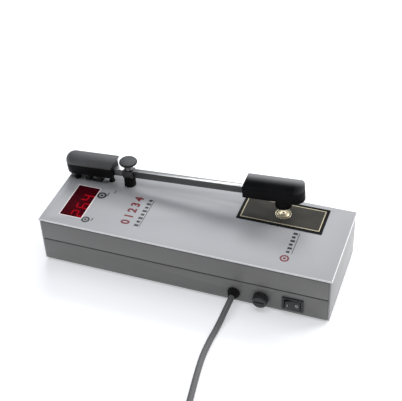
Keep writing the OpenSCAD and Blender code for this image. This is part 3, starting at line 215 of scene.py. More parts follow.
# how deep each kind of bump goes, in metres
bumpDeep = {"peel": 0.00015, "mould": 0.00012, "mouldUnder": 0.0002, "brush": 0.00004, "turned": 0.00003,
            "plate": 0.0001, "knob": 0.00015}


def grey(level):
    return (level, level, level, 1.0)


def shaded(colour, share):
    return tuple(c * share for c in colour[:3]) + (1,)


def armLevel(x, z):
    # height square to the sloping arm
    return z * math.cos(armSlope) - x * math.sin(armSlope)


def pastFace(finish, node, facing, skin):
    # where a point lies past the node's largest face of that facing, less a skin
    mesh = nodes[node].data
    flat = max((f for f in mesh.polygons if facing(f.normal)), key=lambda f: f.area)
    reach = flat.normal.dot(mesh.vertices[flat.vertices[0]].co) - skin
    x, y, z = finish.axes()
    return x * flat.normal.x + y * flat.normal.y + z * flat.normal.z > reach


speckLook = {"from": 0.62, "share": 0.6}
jointShade = {"colour": (0.035, 0.035, 0.035, 1), "scale": 180, "least": 0.75}


def painted(name, look):
    finish = Finish(name, Metallic=0.0, Specular_IOR_Level=look.get("gloss", 0.5))
    colour = look["colour"]
    cloud = finish.noise(look["cloudScale"], 3)
    speck = (finish.noise(look["speckScale"], 1) > speckLook["from"]) * speckLook["share"]
    tone = finish.mix(cloud, colour, shaded(colour, look["cloudDark"]))
    x, y, z = finish.axes()
    if "border" in look:
        # painted highlight: the plate's edges are painted bright
        outX, outY = look["border"]
        edge = (abs(x) > outX).most(abs(y) > outY)
        tone = finish.mix(edge, tone, look["borderHighlight"])
        speck = speck * (1 - edge)
    if "joint" in look:
        # painted shade: a dark band by height, where shade falls in a joint's gap and under the cover's edge
        low, high = look["joint"]
        mottle = finish.noise(jointShade["scale"], 2) * (1 - jointShade["least"]) + jointShade["least"]
        tone = finish.mix((z > low) * (z < high) * mottle, tone, jointShade["colour"])
    finish.set("Base Color", finish.mix(speck, tone, shaded(colour, look["speckDark"])))
    finish.set("Roughness", look["rough"] + cloud * look["roughVary"])
    finish.set("Normal", finish.bump(finish.noise(look["peelScale"], 2), look["peel"], bumpDeep["peel"]))
    return finish.material


def moulded(name, look, toned=None):
    finish = Finish(name, Metallic=0.0, Specular_IOR_Level=look.get("gloss", 0.5))
    smudge = finish.noise(look["smudgeScale"], 4, 0.6)
    tone = finish.mix(smudge * smudge, look["colour"], look["mottle"])
    if toned:
        tone = toned(finish, tone, smudge)
    finish.set("Base Color", tone)
    finish.set("Roughness", look["rough"] + smudge * look["roughVary"])
    under = None
    if look.get("under", True):
        coarse = finish.noise(look["grainScale"] * 0.4, 2)
        under = finish.bump(coarse, look["grain"] * 0.6, bumpDeep["mouldUnder"])
    grain = finish.grain(look["grainScale"])
    finish.set("Normal", finish.bump(grain, look["grain"], bumpDeep["mould"], under))
    return finish.material


def brushed(name, look):
    finish = Finish(name, Metallic=1.0)
    colour = look["colour"]
    lines = finish.brush(look["brush"])
    stain = finish.noise(look["stainScale"], 3)
    finish.set("Base Color", finish.mix(stain * 0.6 + lines * 0.4, colour, shaded(colour, look["dark"])))
    finish.set("Roughness", look["rough"] + lines * look["roughVary"] + stain * 0.06)
    finish.set("Normal", finish.bump(lines, look["depth"], bumpDeep["brush"]))
    return finish.material


def clear(name, look):
    finish = Finish(name, Metallic=0.0, IOR=look["ior"], Transmission_Weight=look["through"],
                    Specular_IOR_Level=look.get("gloss", 0.5))
    haze = finish.noise(look["hazeScale"], 3)
    finish.set("Base Color", finish.mix(haze * 0.5, look["colour"], look["deep"]))
    finish.set("Roughness", look["rough"] + haze * look["roughVary"])
    return finish.material


finishes = {}
# painted shade: the case paint is made darker than the cover's to show the shaded front and back
shadedCasePaint = {"colour": (0.198, 0.196, 0.189, 1), "cloudScale": 14, "cloudDark": 0.93, "speckScale": 2600,
             "speckDark": 0.86, "rough": 0.34, "roughVary": 0.1, "peelScale": 750, "peel": 0.10}
paints = {
    "case_paint": shadedCasePaint,
    "shell_paint": {**shadedCasePaint, "joint": (0.0517, 0.0541)},
    "tray_paint": {**shadedCasePaint, "joint": (0.0285, 0.0296)},
    # painted light: the end plates get a lighter copy of the case paint, as lit from the side
    "end_paint_lit": {**shadedCasePaint, "colour": (0.37, 0.37, 0.37, 1), "rough": 0.36},
    "cover_paint": {"colour": (0.435, 0.44, 0.455, 1), "gloss": 0.25, "border": (0.1503, 0.0513),
                    "borderHighlight": (0.93, 0.93, 0.93, 1), "cloudScale": 11, "cloudDark": 0.90,
                    "speckScale": 2400, "speckDark": 0.88, "rough": 0.30, "roughVary": 0.1, "peelScale": 700,
                    "peel": 0.08},
    "black_steel": {"colour": (0.022, 0.022, 0.024, 1), "cloudScale": 60, "cloudDark": 0.6, "speckScale": 3000,
                    "speckDark": 1.8, "rough": 0.36, "roughVary": 0.14, "peelScale": 1200, "peel": 0.12},
}
for name, look in paints.items():
    finishes[name] = painted(name, look)

plastics = {
    "black_plastic": {"colour": (0.016, 0.016, 0.017, 1), "mottle": (0.035, 0.035, 0.036, 1), "smudgeScale": 45,
                      "rough": 0.32, "roughVary": 0.16, "grainScale": 2600, "grain": 0.06},
    "hood_grey": {"colour": (0.085, 0.085, 0.09, 1), "mottle": (0.15, 0.15, 0.155, 1), "smudgeScale": 50,
                  "rough": 0.42, "roughVary": 0.12, "grainScale": 1500, "grain": 0.34},
    "head_black": {"colour": (0.005, 0.005, 0.0055, 1), "mottle": (0.016, 0.016, 0.017, 1), "smudgeScale": 45,
                   "rough": 0.40, "roughVary": 0.12, "grainScale": 1500, "grain": 0.2, "gloss": 0.1},
    "black_rubber": {"colour": (0.008, 0.008, 0.008, 1), "mottle": (0.022, 0.022, 0.021, 1), "smudgeScale": 70,
                     "rough": 0.62, "roughVary": 0.2, "grainScale": 3200, "grain": 0.14, "gloss": 0.15},
    "chips": {"colour": (0.02, 0.02, 0.022, 1), "mottle": (0.045, 0.045, 0.05, 1), "smudgeScale": 120,
              "rough": 0.5, "roughVary": 0.15, "grainScale": 4200, "grain": 0.12},
    "cord_grey": {"colour": (0.115, 0.116, 0.118, 1), "mottle": (0.19, 0.19, 0.19, 1), "smudgeScale": 38,
                  "rough": 0.42, "roughVary": 0.18, "grainScale": 2400, "grain": 0.10},
    "ceramic": {"colour": (0.74, 0.72, 0.64, 1), "mottle": (0.55, 0.52, 0.44, 1), "smudgeScale": 60,
                "rough": 0.28, "roughVary": 0.2, "grainScale": 1400, "grain": 0.05},
    "digit_face": {"colour": (0.035, 0.008, 0.010, 1), "mottle": (0.06, 0.014, 0.018, 1), "smudgeScale": 90,
                   "rough": 0.4, "roughVary": 0.15, "grainScale": 3000, "grain": 0.05},
}
for name, look in plastics.items():
    finishes[name] = moulded(name, look)

metals = {
    "dark_steel": {"colour": (0.15, 0.15, 0.15, 1), "dark": 0.55, "brush": (900, 900, 2600), "stainScale": 220,
                   "rough": 0.30, "roughVary": 0.18, "depth": 0.25},
    "steel": {"colour": (0.36, 0.36, 0.355, 1), "dark": 0.62, "brush": (35, 2600, 2600), "stainScale": 90,
              "rough": 0.28, "roughVary": 0.16, "depth": 0.35},
    "bright_steel": {"colour": (0.60, 0.60, 0.59, 1), "dark": 0.75, "brush": (900, 900, 900), "stainScale": 160,
                     "rough": 0.16, "roughVary": 0.12, "depth": 0.08},
    "lamp_metal": {"colour": (0.50, 0.51, 0.52, 1), "dark": 0.8, "brush": (160, 160, 2400), "stainScale": 50,
                   "rough": 0.34, "roughVary": 0.14, "depth": 0.25},
}
for name, look in metals.items():
    finishes[name] = brushed(name, look)

glasses = {
    "opal_glass": {"colour": (0.92, 0.91, 0.87, 1), "deep": (0.86, 0.84, 0.78, 1), "ior": 1.5, "through": 0.35,
                   "rough": 0.45, "roughVary": 0.1, "hazeScale": 120},
    "lamp_glass": {"colour": (0.98, 0.97, 0.93, 1), "deep": (0.95, 0.92, 0.84, 1), "ior": 1.5, "through": 0.95,
                   "rough": 0.03, "roughVary": 0.04, "hazeScale": 90},
    "filter_green": {"colour": (0.20, 0.55, 0.30, 1), "deep": (0.12, 0.42, 0.22, 1), "ior": 1.5, "through": 0.9,
                     "rough": 0.05, "roughVary": 0.05, "hazeScale": 90},
    "red_window": {"colour": (0.20, 0.008, 0.022, 1), "deep": (0.13, 0.006, 0.014, 1), "ior": 1.03,
                   "through": 0.72, "gloss": 0.02, "rough": 0.14, "roughVary": 0.08, "hazeScale": 60},
}
for name, look in glasses.items():
    finishes[name] = clear(name, look)

brassLook = {"colour": (0.92, 0.83, 0.60, 1), "dull": (0.70, 0.58, 0.34, 1), "rough": 0.26,
             "brush": (300, 300, 2400)}


def turnedBrass(name):
    finish = Finish(name, Metallic=1.0)
    lines = finish.brush(brassLook["brush"])
    stain = finish.noise(140, 4, 0.6)
    finish.set("Base Color", finish.mix(stain * 0.7, brassLook["colour"], brassLook["dull"]))
    finish.set("Roughness", brassLook["rough"] + lines * 0.14 + stain * 0.1)
    finish.set("Normal", finish.bump(lines, 0.2, bumpDeep["brush"]))
    return finish.material


finishes["brass"] = turnedBrass("brass")

bushLook = {"ringFrom": 0.00635, "ringTo": 0.00745, "ring": (0.012, 0.011, 0.010, 1), "hole": 0.00105,
            "grooves": 5200.0, "metal": 0.65}


def bushFinish(name):
    finish = Finish(name)
    low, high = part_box("aperture_bush")
    centre = (low + high) / 2
    x, y, z = finish.axes()
    dx, dy = x - centre.x, y - centre.y
    square = dx * dx + dy * dy
    radius = square.math("SQRT", square)
    grooves = (radius * bushLook["grooves"]).wave()
    stain = finish.noise(220, 4, 0.6)
    ring = (radius > bushLook["ringFrom"]) * (radius < bushLook["ringTo"])
    dark = ring.most(radius < bushLook["hole"])
    metal = finish.mix(stain * 0.6, brassLook["colour"], brassLook["dull"])
    finish.set("Base Color", finish.mix(dark, metal, bushLook["ring"]))
    finish.set("Metallic", (1 - dark) * bushLook["metal"])
    finish.set("Roughness", brassLook["rough"] + grooves * 0.08 + stain * 0.12 + dark * 0.3)
    finish.set("Normal", finish.bump(grooves, 0.15, bumpDeep["turned"]))
    return finish.material


finishes["bush_brass"] = bushFinish("bush_brass")

stageLook = {"border": 0.0031, "line": 0.0009, "edge": (0.005, 0.005, 0.005, 1), "gold": (0.62, 0.56, 0.40, 1),
             "field": (0.030, 0.029, 0.024, 1), "patch": (0.076, 0.072, 0.063, 1), "rough": 0.38, "gloss": 0.12}


def stageFinish(name):
    finish = Finish(name, Metallic=0.0, Specular_IOR_Level=stageLook["gloss"])
    low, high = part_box("stage_plate")
    centre, half = (low + high) / 2, (high - low) / 2
    x, y, z = finish.axes()
    depth = (half.x - abs(x - centre.x)).least(half.y - abs(y - centre.y))
    inside = depth > stageLook["border"] + stageLook["line"]
    line = (depth > stageLook["border"]) * (1 - inside)
    cloud = finish.noise(55, 5, 0.65)
    field = finish.mix(cloud, stageLook["field"], stageLook["patch"])
    toned = finish.mix(inside, stageLook["edge"], field)
    finish.set("Base Color", finish.mix(line, toned, stageLook["gold"]))
    finish.set("Roughness", stageLook["rough"] + cloud * 0.22)
    finish.set("Metallic", line * 0.4)
    finish.set("Normal", finish.bump(finish.noise(2200, 2), 0.08, bumpDeep["plate"]))
    return finish.material


finishes["stage_black"] = stageFinish("stage_black")

boardLook = {"mask": (0.018, 0.12, 0.045, 1), "track": (0.035, 0.19, 0.075, 1), "rough": 0.3, "scale": 120.0,
             "trackWide": 0.018}


def boardFinish(name):
    finish = Finish(name, Metallic=0.0, Coat_Weight=0.3)
    bricks = finish.node("ShaderNodeTexBrick", values={
        "Vector": finish.place, "Scale": boardLook["scale"], "Mortar Size": boardLook["trackWide"],
        "Color1": grey(0), "Color2": grey(0), "Mortar": grey(1)}, out="Fac")
    wander = finish.noise(30, 1)
    track = bricks * (wander > 0.45)
    finish.set("Base Color", finish.mix(track, boardLook["mask"], boardLook["track"]))
    finish.set("Roughness", boardLook["rough"] + wander * 0.1)
    finish.set("Normal", finish.bump(track, 0.3, bumpDeep["plate"]))
    return finish.material


finishes["circuit_board"] = boardFinish("circuit_board")

windingLook = {"wire": (0.45, 0.20, 0.06, 1), "tape": (0.60, 0.42, 0.12, 1), "pitch": 9000.0, "rough": 0.35}


def windingFinish(name):
    finish = Finish(name, Metallic=0.0, Coat_Weight=0.2)
    x, y, z = finish.axes()
    turns = (z * windingLook["pitch"]).wave()
    cloud = finish.noise(80, 3)
    finish.set("Base Color", finish.mix(turns * 0.4 + cloud * 0.3, windingLook["tape"], windingLook["wire"]))
    finish.set("Roughness", windingLook["rough"] + cloud * 0.2)
    finish.set("Normal", finish.bump(turns, 0.3, bumpDeep["plate"]))
    return finish.material


finishes["winding"] = windingFinish("winding")

inkLook = {"scale": 900, "paler": 1.6, "lift": 0.02, "rough": 0.38, "glowCore": (1, 0.35, 0.3, 1)}
inks = {
    "red": {"colour": (0.15, 0.004, 0.012, 1)},
    "black": {"colour": (0.02, 0.02, 0.022, 1)},
    "grey": {"colour": (0.12, 0.12, 0.125, 1)},
    "white": {"colour": (0.62, 0.62, 0.60, 1)},
    "pink": {"colour": (0.80, 0.70, 0.69, 1)},
    "lit": {"colour": (1.0, 0.13, 0.15, 1), "glow": 3.6},
}


def inked(name, colour, glow=0.0):
    finish = Finish(name, Metallic=0.0)
    patchy = finish.noise(inkLook["scale"], 3, 0.7)
    pale = tuple(min(1, c * inkLook["paler"] + inkLook["lift"]) for c in colour[:3]) + (1,)
    finish.set("Base Color", finish.mix(patchy * 0.5, colour, pale))
    finish.set("Roughness", inkLook["rough"] + patchy * 0.2)
    if glow:
        finish.set("Emission Color", finish.mix(patchy * 0.4, colour, inkLook["glowCore"]))
        finish.set("Emission Strength", glow)
    return finish.material


for name, ink in inks.items():
    finishes[name + "_ink"] = inked(name + "_ink", **ink)

hoodLook = {"skin": 0.0003, "end": (0.008, 0.008, 0.008, 1)}


def hoodEndShade(finish, tone, smudge):
    # painted shade: the rear cap's flat end is darkened near black
    end = pastFace(finish, "rear_cap", lambda normal: normal.x > 0.4, hoodLook["skin"])
    return finish.mix(end, tone, hoodLook["end"])


finishes["rear_grey"] = moulded("rear_grey", {**plastics["hood_grey"], "under": False}, hoodEndShade)

crownLook = {"radius": 0.0095, "lean": 24, "from": 0.38, "span": 0.56, "sheen": (0.25, 0.25, 0.252, 1),
             "endFrom": 0.010, "endSpan": 0.008, "end": (0.045, 0.045, 0.047, 1)}


def crownHighlight(finish, tone, smudge):
    # painted highlight: the head's crown and its far end are painted paler than its sides
    low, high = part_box("head_cap")
    seam = armLevel(high.x, high.z) - crownLook["radius"]
    lean = math.radians(crownLook["lean"])
    x, y, z = finish.axes()
    toward = (armLevel(x, z) - seam) * math.cos(lean) + (y - (low.y + high.y) / 2) * math.sin(lean)
    crown = ((toward / crownLook["radius"] - crownLook["from"]) / crownLook["span"]).held()
    end = ((x - (high.x - crownLook["endFrom"])) / crownLook["endSpan"]).held()
    tone = finish.mix(end, tone, crownLook["end"])
    return finish.mix(crown * crown * (0.85 + smudge * 0.3), tone, crownLook["sheen"])


finishes["head_sheen"] = moulded("head_sheen", {**plastics["head_black"], "under": False}, crownHighlight)

barLook = {"skin": 0.0002, "top": (0.74, 0.74, 0.73, 1), "side": (0.20, 0.20, 0.20, 1),
           "stain": (0.12, 0.12, 0.12, 1), "brush": (35, 2600, 2600), "rough": 0.3}


def barFinish(name):
    finish = Finish(name, Metallic=1.0)
    top = pastFace(finish, "arm_bar", lambda normal: normal.z > 0.9, barLook["skin"])
    lines = finish.brush(barLook["brush"])
    stain = finish.noise(90, 3)
    # painted light and shade: the top face is painted pale, the sides dark
    tone = finish.mix(top, barLook["side"], barLook["top"])
    finish.set("Base Color", finish.mix(stain * 0.3 + lines * 0.2, tone, barLook["stain"]))
    finish.set("Roughness", barLook["rough"] + lines * 0.16 + stain * 0.06)
    finish.set("Normal", finish.bump(lines, 0.3, bumpDeep["brush"]))
    return finish.material


finishes["bar_steel"] = barFinish("bar_steel")

knobTone = {"neck": 0.0074, "rim": 0.0099, "metal": (0.28, 0.28, 0.275, 1), "side": (0.008, 0.008, 0.008, 1),
            "top": (0.06, 0.063, 0.066, 1), "mottle": (0.12, 0.124, 0.128, 1), "gloss": 0.3, "rough": 0.5,
            "neckRough": 0.22, "grainScale": 1300.0, "grain": 0.5}


def knobFinish(name):
    finish = Finish(name, Specular_IOR_Level=knobTone["gloss"])
    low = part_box("height_knob")[0].z
    x, y, z = finish.axes()
    neck = z < low + knobTone["neck"]
    smudge = finish.noise(260, 4, 0.6)
    crown = finish.mix(smudge, knobTone["top"], knobTone["mottle"])
    # painted shade: below the rim height the knob's head is near black, above it grey
    cap = finish.mix(z > low + knobTone["rim"], knobTone["side"], crown)
    finish.set("Base Color", finish.mix(neck, cap, knobTone["metal"]))
    finish.set("Metallic", neck)
    finish.set("Roughness", knobTone["rough"] - neck * (knobTone["rough"] - knobTone["neckRough"]) + smudge * 0.1)
    grain = finish.grain(knobTone["grainScale"]) * (1 - neck)
    finish.set("Normal", finish.bump(grain, knobTone["grain"], bumpDeep["knob"]))
    return finish.material


finishes["knob_grey"] = knobFinish("knob_grey")

# nodes whose finish differs from their slot's own
special = {"end_plate_left": "end_paint_lit", "end_plate_right": "end_paint_lit", "aperture_bush": "bush_brass",
           "base_tray": "tray_paint", "upper_shell": "shell_paint", "rear_cap": "rear_grey",
           "rear_body": "head_black", "head_cap": "head_sheen", "head_body": "head_black",
           "sensor_nose": "head_black", "bracket_screws": "bright_steel", "pin_clips": "bright_steel",
           "arm_bar": "bar_steel", "bar_boss": "dark_steel"}


def finishOf(node):
    return special.get(node, slotOf[node])


for node, obj in nodes.items():
    obj.data.materials.clear()
    obj.data.materials.append(finishes[finishOf(node)])
print("materials made:", len(finishes))

weldGap = 0.000002
flatAngle = math.radians(1)


def deselect():
    if bpy.context.object and bpy.context.object.mode == "EDIT":
        bpy.ops.object.mode_set(mode="OBJECT")
    bpy.ops.object.select_all(action="DESELECT")


def pick(obj):
    deselect()
    obj.select_set(True)
    bpy.context.view_layer.objects.active = obj


@contextmanager
def editing(obj):
    pick(obj)
    bpy.ops.object.mode_set(mode="EDIT")
    yield
    bpy.ops.object.mode_set(mode="OBJECT")


def welded(gap=weldGap):
    bpy.ops.mesh.select_all(action="SELECT")
    bpy.ops.mesh.remove_doubles(threshold=gap)


def faceOutward():
    bpy.ops.mesh.select_all(action="SELECT")
    bpy.ops.mesh.normals_make_consistent(inside=False)


def pickOpenEdges():
    bpy.ops.mesh.select_all(action="DESELECT")
    bpy.ops.mesh.select_mode(type="EDGE")
    bpy.ops.mesh.select_non_manifold()


def extrudeBy(step):
    bpy.ops.mesh.extrude_region_move(TRANSFORM_OT_translate={"value": step})


def applied(obj):
    pick(obj)
    for modifier in list(obj.modifiers):
        bpy.ops.object.modifier_apply(modifier=modifier.name)
    bpy.ops.object.transform_apply(location=True, rotation=True, scale=True)


def settle(obj, name, finish, body, instead=(), smooth=35):
    applied(obj)
    obj.name = name
    obj.data.name = name
    obj.data.materials.clear()
    obj.data.materials.append(finishes[finish])
    bpy.ops.object.shade_smooth_by_angle(angle=math.radians(smooth))
    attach(obj, body)
    if instead:
        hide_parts(*instead)
    deselect()
    return obj


def bevelled(obj, width, segments=2, angle=30):
    bevel = obj.modifiers.new("edges", "BEVEL")
    bevel.width = width
    bevel.segments = segments
    bevel.limit_method = "ANGLE"
    bevel.angle_limit = math.radians(angle)
    return obj


def copied(obj, place=(0, 0, 0), turn=(0, 0, 0)):
    twin = obj.copy()
    twin.data = obj.data.copy()
    bpy.context.scene.collection.objects.link(twin)
    twin.location = place
    twin.rotation_euler = turn
    return twin


def edged(node, width, sharp=30):
    # the node's own form with its edges eased
    obj = bpy.data.objects.new(node + "_edged", nodes[node].data.copy())
    bpy.context.scene.collection.objects.link(obj)
    with editing(obj):
        welded()
        bpy.ops.mesh.dissolve_limited(angle_limit=flatAngle)
    bevelled(obj, width, 2, sharp)
    return settle(obj, node + "_edged", finishOf(node), bodyOf[node], [node])


def chosen(test):
    mesh = bmesh.from_edit_mesh(bpy.context.object.data)
    for vert in mesh.verts:
        vert.select = bool(test(vert.co))
    mesh.select_flush(True)
    mesh.select_flush(False)
    bmesh.update_edit_mesh(bpy.context.object.data)


def chosenFaces(test):
    bpy.ops.mesh.select_mode(type="FACE")
    mesh = bmesh.from_edit_mesh(bpy.context.object.data)
    for face in mesh.faces:
        face.select = bool(test(face.normal))
    mesh.select_flush_mode()
    bmesh.update_edit_mesh(bpy.context.object.data)


def turned(name, profile, centre, steps=64):
    # draws the outline by extruding one point, then spins it round its own Z axis; sizes in millimetres
    deselect()
    bpy.ops.mesh.primitive_plane_add(size=0.001, location=(0, 0, 0))
    obj = bpy.context.object
    obj.name = name
    bpy.ops.object.mode_set(mode="EDIT")
    bpy.ops.mesh.select_mode(type="VERT")
    bpy.ops.mesh.select_all(action="SELECT")
    bpy.ops.mesh.merge(type="CENTER")
    points = [Vector((r, 0, z)) / 1000 for r, z in profile]
    bpy.ops.transform.translate(value=points[0])
    for here, there in zip(points, points[1:]):
        extrudeBy(there - here)
    bpy.ops.mesh.select_all(action="SELECT")
    bpy.ops.mesh.spin(steps=steps, angle=2 * math.pi, center=(0, 0, 0), axis=(0, 0, 1))
    welded(0.000005)
    faceOutward()
    bpy.ops.object.mode_set(mode="OBJECT")
    obj.location = centre
    return obj


def block(name, low, high):
    deselect()
    middle = (Vector(low) + Vector(high)) / 2
    bpy.ops.mesh.primitive_cube_add(size=1, location=middle)
    obj = bpy.context.object
    obj.name = name
    obj.scale = Vector(high) - Vector(low)
    bpy.ops.object.transform_apply(location=False, rotation=False, scale=True)
    return obj


def insetTop(obj, width):
    with editing(obj):
        chosenFaces(lambda normal: normal.z > 0.9)
        bpy.ops.mesh.inset(thickness=width)


def joined(name, objects):
    deselect()
    for obj in objects:
        obj.select_set(True)
    bpy.context.view_layer.objects.active = objects[0]
    bpy.ops.object.join()
    objects[0].name = name
    return objects[0]


def metres(points):
    return [Vector(p) / 1000 for p in points]


def tubeAlong(name, points, radius, sides, finish):
    curve = bpy.data.curves.new(name, "CURVE")
    curve.dimensions = "3D"
    curve.bevel_depth = radius
    curve.bevel_resolution = sides
    curve.use_fill_caps = True
    curve.resolution_u = 4
    spline = curve.splines.new("BEZIER")
    spline.bezier_points.add(len(points) - 1)
    for knot, point in zip(spline.bezier_points, points):
        knot.co = point
        knot.handle_left_type = knot.handle_right_type = "AUTO"
    obj = bpy.data.objects.new(name, curve)
    bpy.context.scene.collection.objects.link(obj)
    obj.data.materials.append(finishes[finish])
    return obj


def lengthOf(points):
    return sum((b - a).length for a, b in zip(points, points[1:]))


# the mains lead, in millimetres but for its radius
lead = {
    "radius": 0.003,
    "sides": 6,
    "route": [
        (55, -58, 13), (55, -64, 13), (54.6, -70, 11.9), (53.8, -76, 9.7), (52.7, -83, 6.6), (51.7, -90, 4.3),
        (51, -97, 3.2), (50.3, -105, 3), (50, -115, 3), (50, -127, 3), (51, -140, 3), (52.8, -155, 3),
        (54.9, -170, 3), (57, -185, 3), (59, -200, 3), (60.7, -214, 3), (61.8, -228, 3.2), (62.3, -240, 3.7),
        (62.3, -251, 4), (62.3, -257, 4),
    ],
    "coilCentre": (17, -263), "coilHeight": 4, "coilRadius": 45.3, "pitch": 6.6, "turnsIn": 3, "turnsOut": 2.75,
    "steps": 24, "ease": (12, 26), "tail": 40,
}


def coilPoint(turn):
    inner = lead["turnsIn"]
    if turn < inner + 0.25:
        radius = lead["coilRadius"] - lead["pitch"] * turn
    else:
        radius = lead["coilRadius"] - lead["pitch"] * (2 * inner + 0.5 - turn)
    climb = min(1, max(0, 2 * (turn - inner)))
    angle = -2 * math.pi * turn
    middleX, middleY = lead["coilCentre"]
    return (middleX + radius * math.cos(angle), middleY + radius * math.sin(angle),
            lead["coilHeight"] + lead["pitch"] * climb)


def leadPath():
    turns = lead["turnsIn"] + 0.5 + lead["turnsOut"]
    points = list(lead["route"])
    points += [coilPoint(i / lead["steps"]) for i in range(int(turns * lead["steps"]) + 1)]
    endX, endY, endZ = points[-1]
    points += [(endX - step, endY, endZ) for step in lead["ease"]]
    points.append((lead["coilCentre"][0] - lead["tail"], endY, endZ))
    return metres(points)


route = leadPath()
mainsLead = tubeAlong("mains_lead", route, lead["radius"], lead["sides"], "cord_grey")
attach(mainsLead, "case")
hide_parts("mains_cord", "cord_coil")
print("mains lead laid:", round(lengthOf(route), 3), "m")

sensorLook = {
    "radius": 0.0012,
    "sides": 5,
    "route": [
        (-141, 22, 51.3), (-141, 22, 53.9), (-141, 22, 56.5), (-141.1, 22.05, 58.4), (-141.9, 22.4, 61.2),
        (-142.9, 23.4, 63.7), (-142.6, 25.1, 66.0), (-140.5, 26.5, 67.3), (-137, 27, 67.6), (-132, 27, 67.6),
        (-126.5, 27, 67.6),
    ],
}
sensorRoute = metres(sensorLook["route"])
sensorLead = tubeAlong("sensor_cord", sensorRoute, sensorLook["radius"], sensorLook["sides"], "black_rubber")
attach(sensorLead, "case")
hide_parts("sensor_lead")
print("sensor lead laid:", round(lengthOf(sensorRoute), 4), "m")

# pieces that keep their solid's form, with the width of their eased edges
edgeWidths = {
    "base_tray": 0.0005, "upper_shell": 0.0003, "end_plate_left": 0.0004, "end_plate_right": 0.0004,
    "hinge_bracket": 0.00025, "bar_boss": 0.0003, "arm_bar": 0.0004, "head_body": 0.0004,
    "rear_cap": 0.0005, "rear_body": 0.0004, "sensor_nose": 0.0004, "knob_washer": 0.0001,
    "stage_plate": 0.0002, "switch_frame": 0.0003, "switch_rocker": 0.0003, "fuse_holder": 0.0002,
    "fuse_cap": 0.0002, "cover_plate": 0.00005, "aperture_bush": 0.0002, "down_stop": 0.0001,
    "lead_grommet": 0.0003, "bracket_screws": 0.00012, "case_screws": 0.00012, "arm_screws": 0.0001,
    "plug_pins": 0.0004, "cord_tie": 0.0002, "feet": 0.0006, "pivot_pin": 0.0002, "pin_clips": 0.00008,
}
for node, width in edgeWidths.items():
    edged(node, width)
print("case and arm edged")

headLook = {"voxel": 0.0005, "end": 0.003, "reach": 0.013, "reachEase": 0.004, "seam": 0.0012,
            "seamEase": 0.0015, "passes": 34, "strength": 0.5, "flat": 0.6}


def softHead():
    # the head cap with its far end smoothed, down to its seam
    obj = copied(nodes["head_cap"])
    with editing(obj):
        welded()
    remesh = obj.modifiers.new("even", "REMESH")
    remesh.mode = "VOXEL"
    remesh.voxel_size = headLook["voxel"]
    bpy.ops.object.modifier_apply(modifier=remesh.name)
    points = [v.co for v in obj.data.vertices]
    far = max(p.x for p in points)
    seam = min(armLevel(p.x, p.z) for p in points if p.x > far - headLook["end"]) + headLook["seam"]
    group = obj.vertex_groups.new(name="end")
    for i, p in enumerate(points):
        near = min(1, max(0, (p.x - far + headLook["reach"]) / headLook["reachEase"]))
        high = min(1, max(0, (armLevel(p.x, p.z) - seam) / headLook["seamEase"]))
        if near * high > 0:
            group.add([i], near * high, "REPLACE")
    ease = obj.modifiers.new("ease", "SMOOTH")
    ease.factor, ease.iterations, ease.vertex_group = headLook["strength"], headLook["passes"], "end"
    bpy.ops.object.modifier_apply(modifier=ease.name)
    with editing(obj):
        bpy.ops.mesh.select_all(action="SELECT")
        bpy.ops.mesh.dissolve_limited(angle_limit=math.radians(headLook["flat"]))
    settle(obj, "head_cap_soft", "head_sheen", "arm", ["head_cap"], 60)


softHead()
print("head softened")

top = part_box("cover_plate")[1].z
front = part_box("base_tray")[0].y

windowLook = {"ledge": 0.002, "ledgeTall": 0.0015, "rim": 0.0005, "sink": 0.00012, "frame": 0.0010,
              "frameHeight": 0.00012, "frameSunk": 0.0001, "frameEdge": 0.00005}
windowLow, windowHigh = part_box("display_window")
ledge = Vector((windowLook["ledge"], windowLook["ledge"], 0))
paneLow, paneHigh = windowLow + ledge, windowHigh - ledge
ledgeTop = windowLow.z + windowLook["ledgeTall"]
pane = block("window_pane", windowLow, (windowHigh.x, windowHigh.y, ledgeTop))
insetTop(pane, windowLook["ledge"])
with editing(pane):
    extrudeBy((0, 0, windowHigh.z - ledgeTop))
    bpy.ops.mesh.inset(thickness=windowLook["rim"])
    bpy.ops.transform.translate(value=(0, 0, -windowLook["sink"]))
settle(pane, "window_pane", "red_window", "case", ["display_window"])

frameWide = windowLook["frame"]
rim = block("window_rim", (paneLow.x - frameWide, paneLow.y - frameWide, top - windowLook["frameSunk"]),
            (paneHigh.x + frameWide, paneHigh.y + frameWide, top + windowLook["frameHeight"]))
with editing(rim):
    chosenFaces(lambda normal: abs(normal.z) > 0.9)
    bpy.ops.mesh.inset(thickness=frameWide)
    bpy.ops.mesh.delete(type="FACE")
    pickOpenEdges()
    bpy.ops.mesh.bridge_edge_loops()
    faceOutward()
bevelled(rim, windowLook["frameEdge"], 1)
settle(rim, "window_rim", "pink_ink", "case")

digitLook = {"length": 0.0052, "width": 0.0012, "height": 0.0005, "tip": 1.12, "point": 0.35, "sunk": 0.0002,
             "figureWide": 0.0072, "figureTall": 0.0127, "shown": ["abdeg", "acdefg", "bcfg"], "pitch": 0.0127,
             "middle": 0.0035, "first": -0.0142}
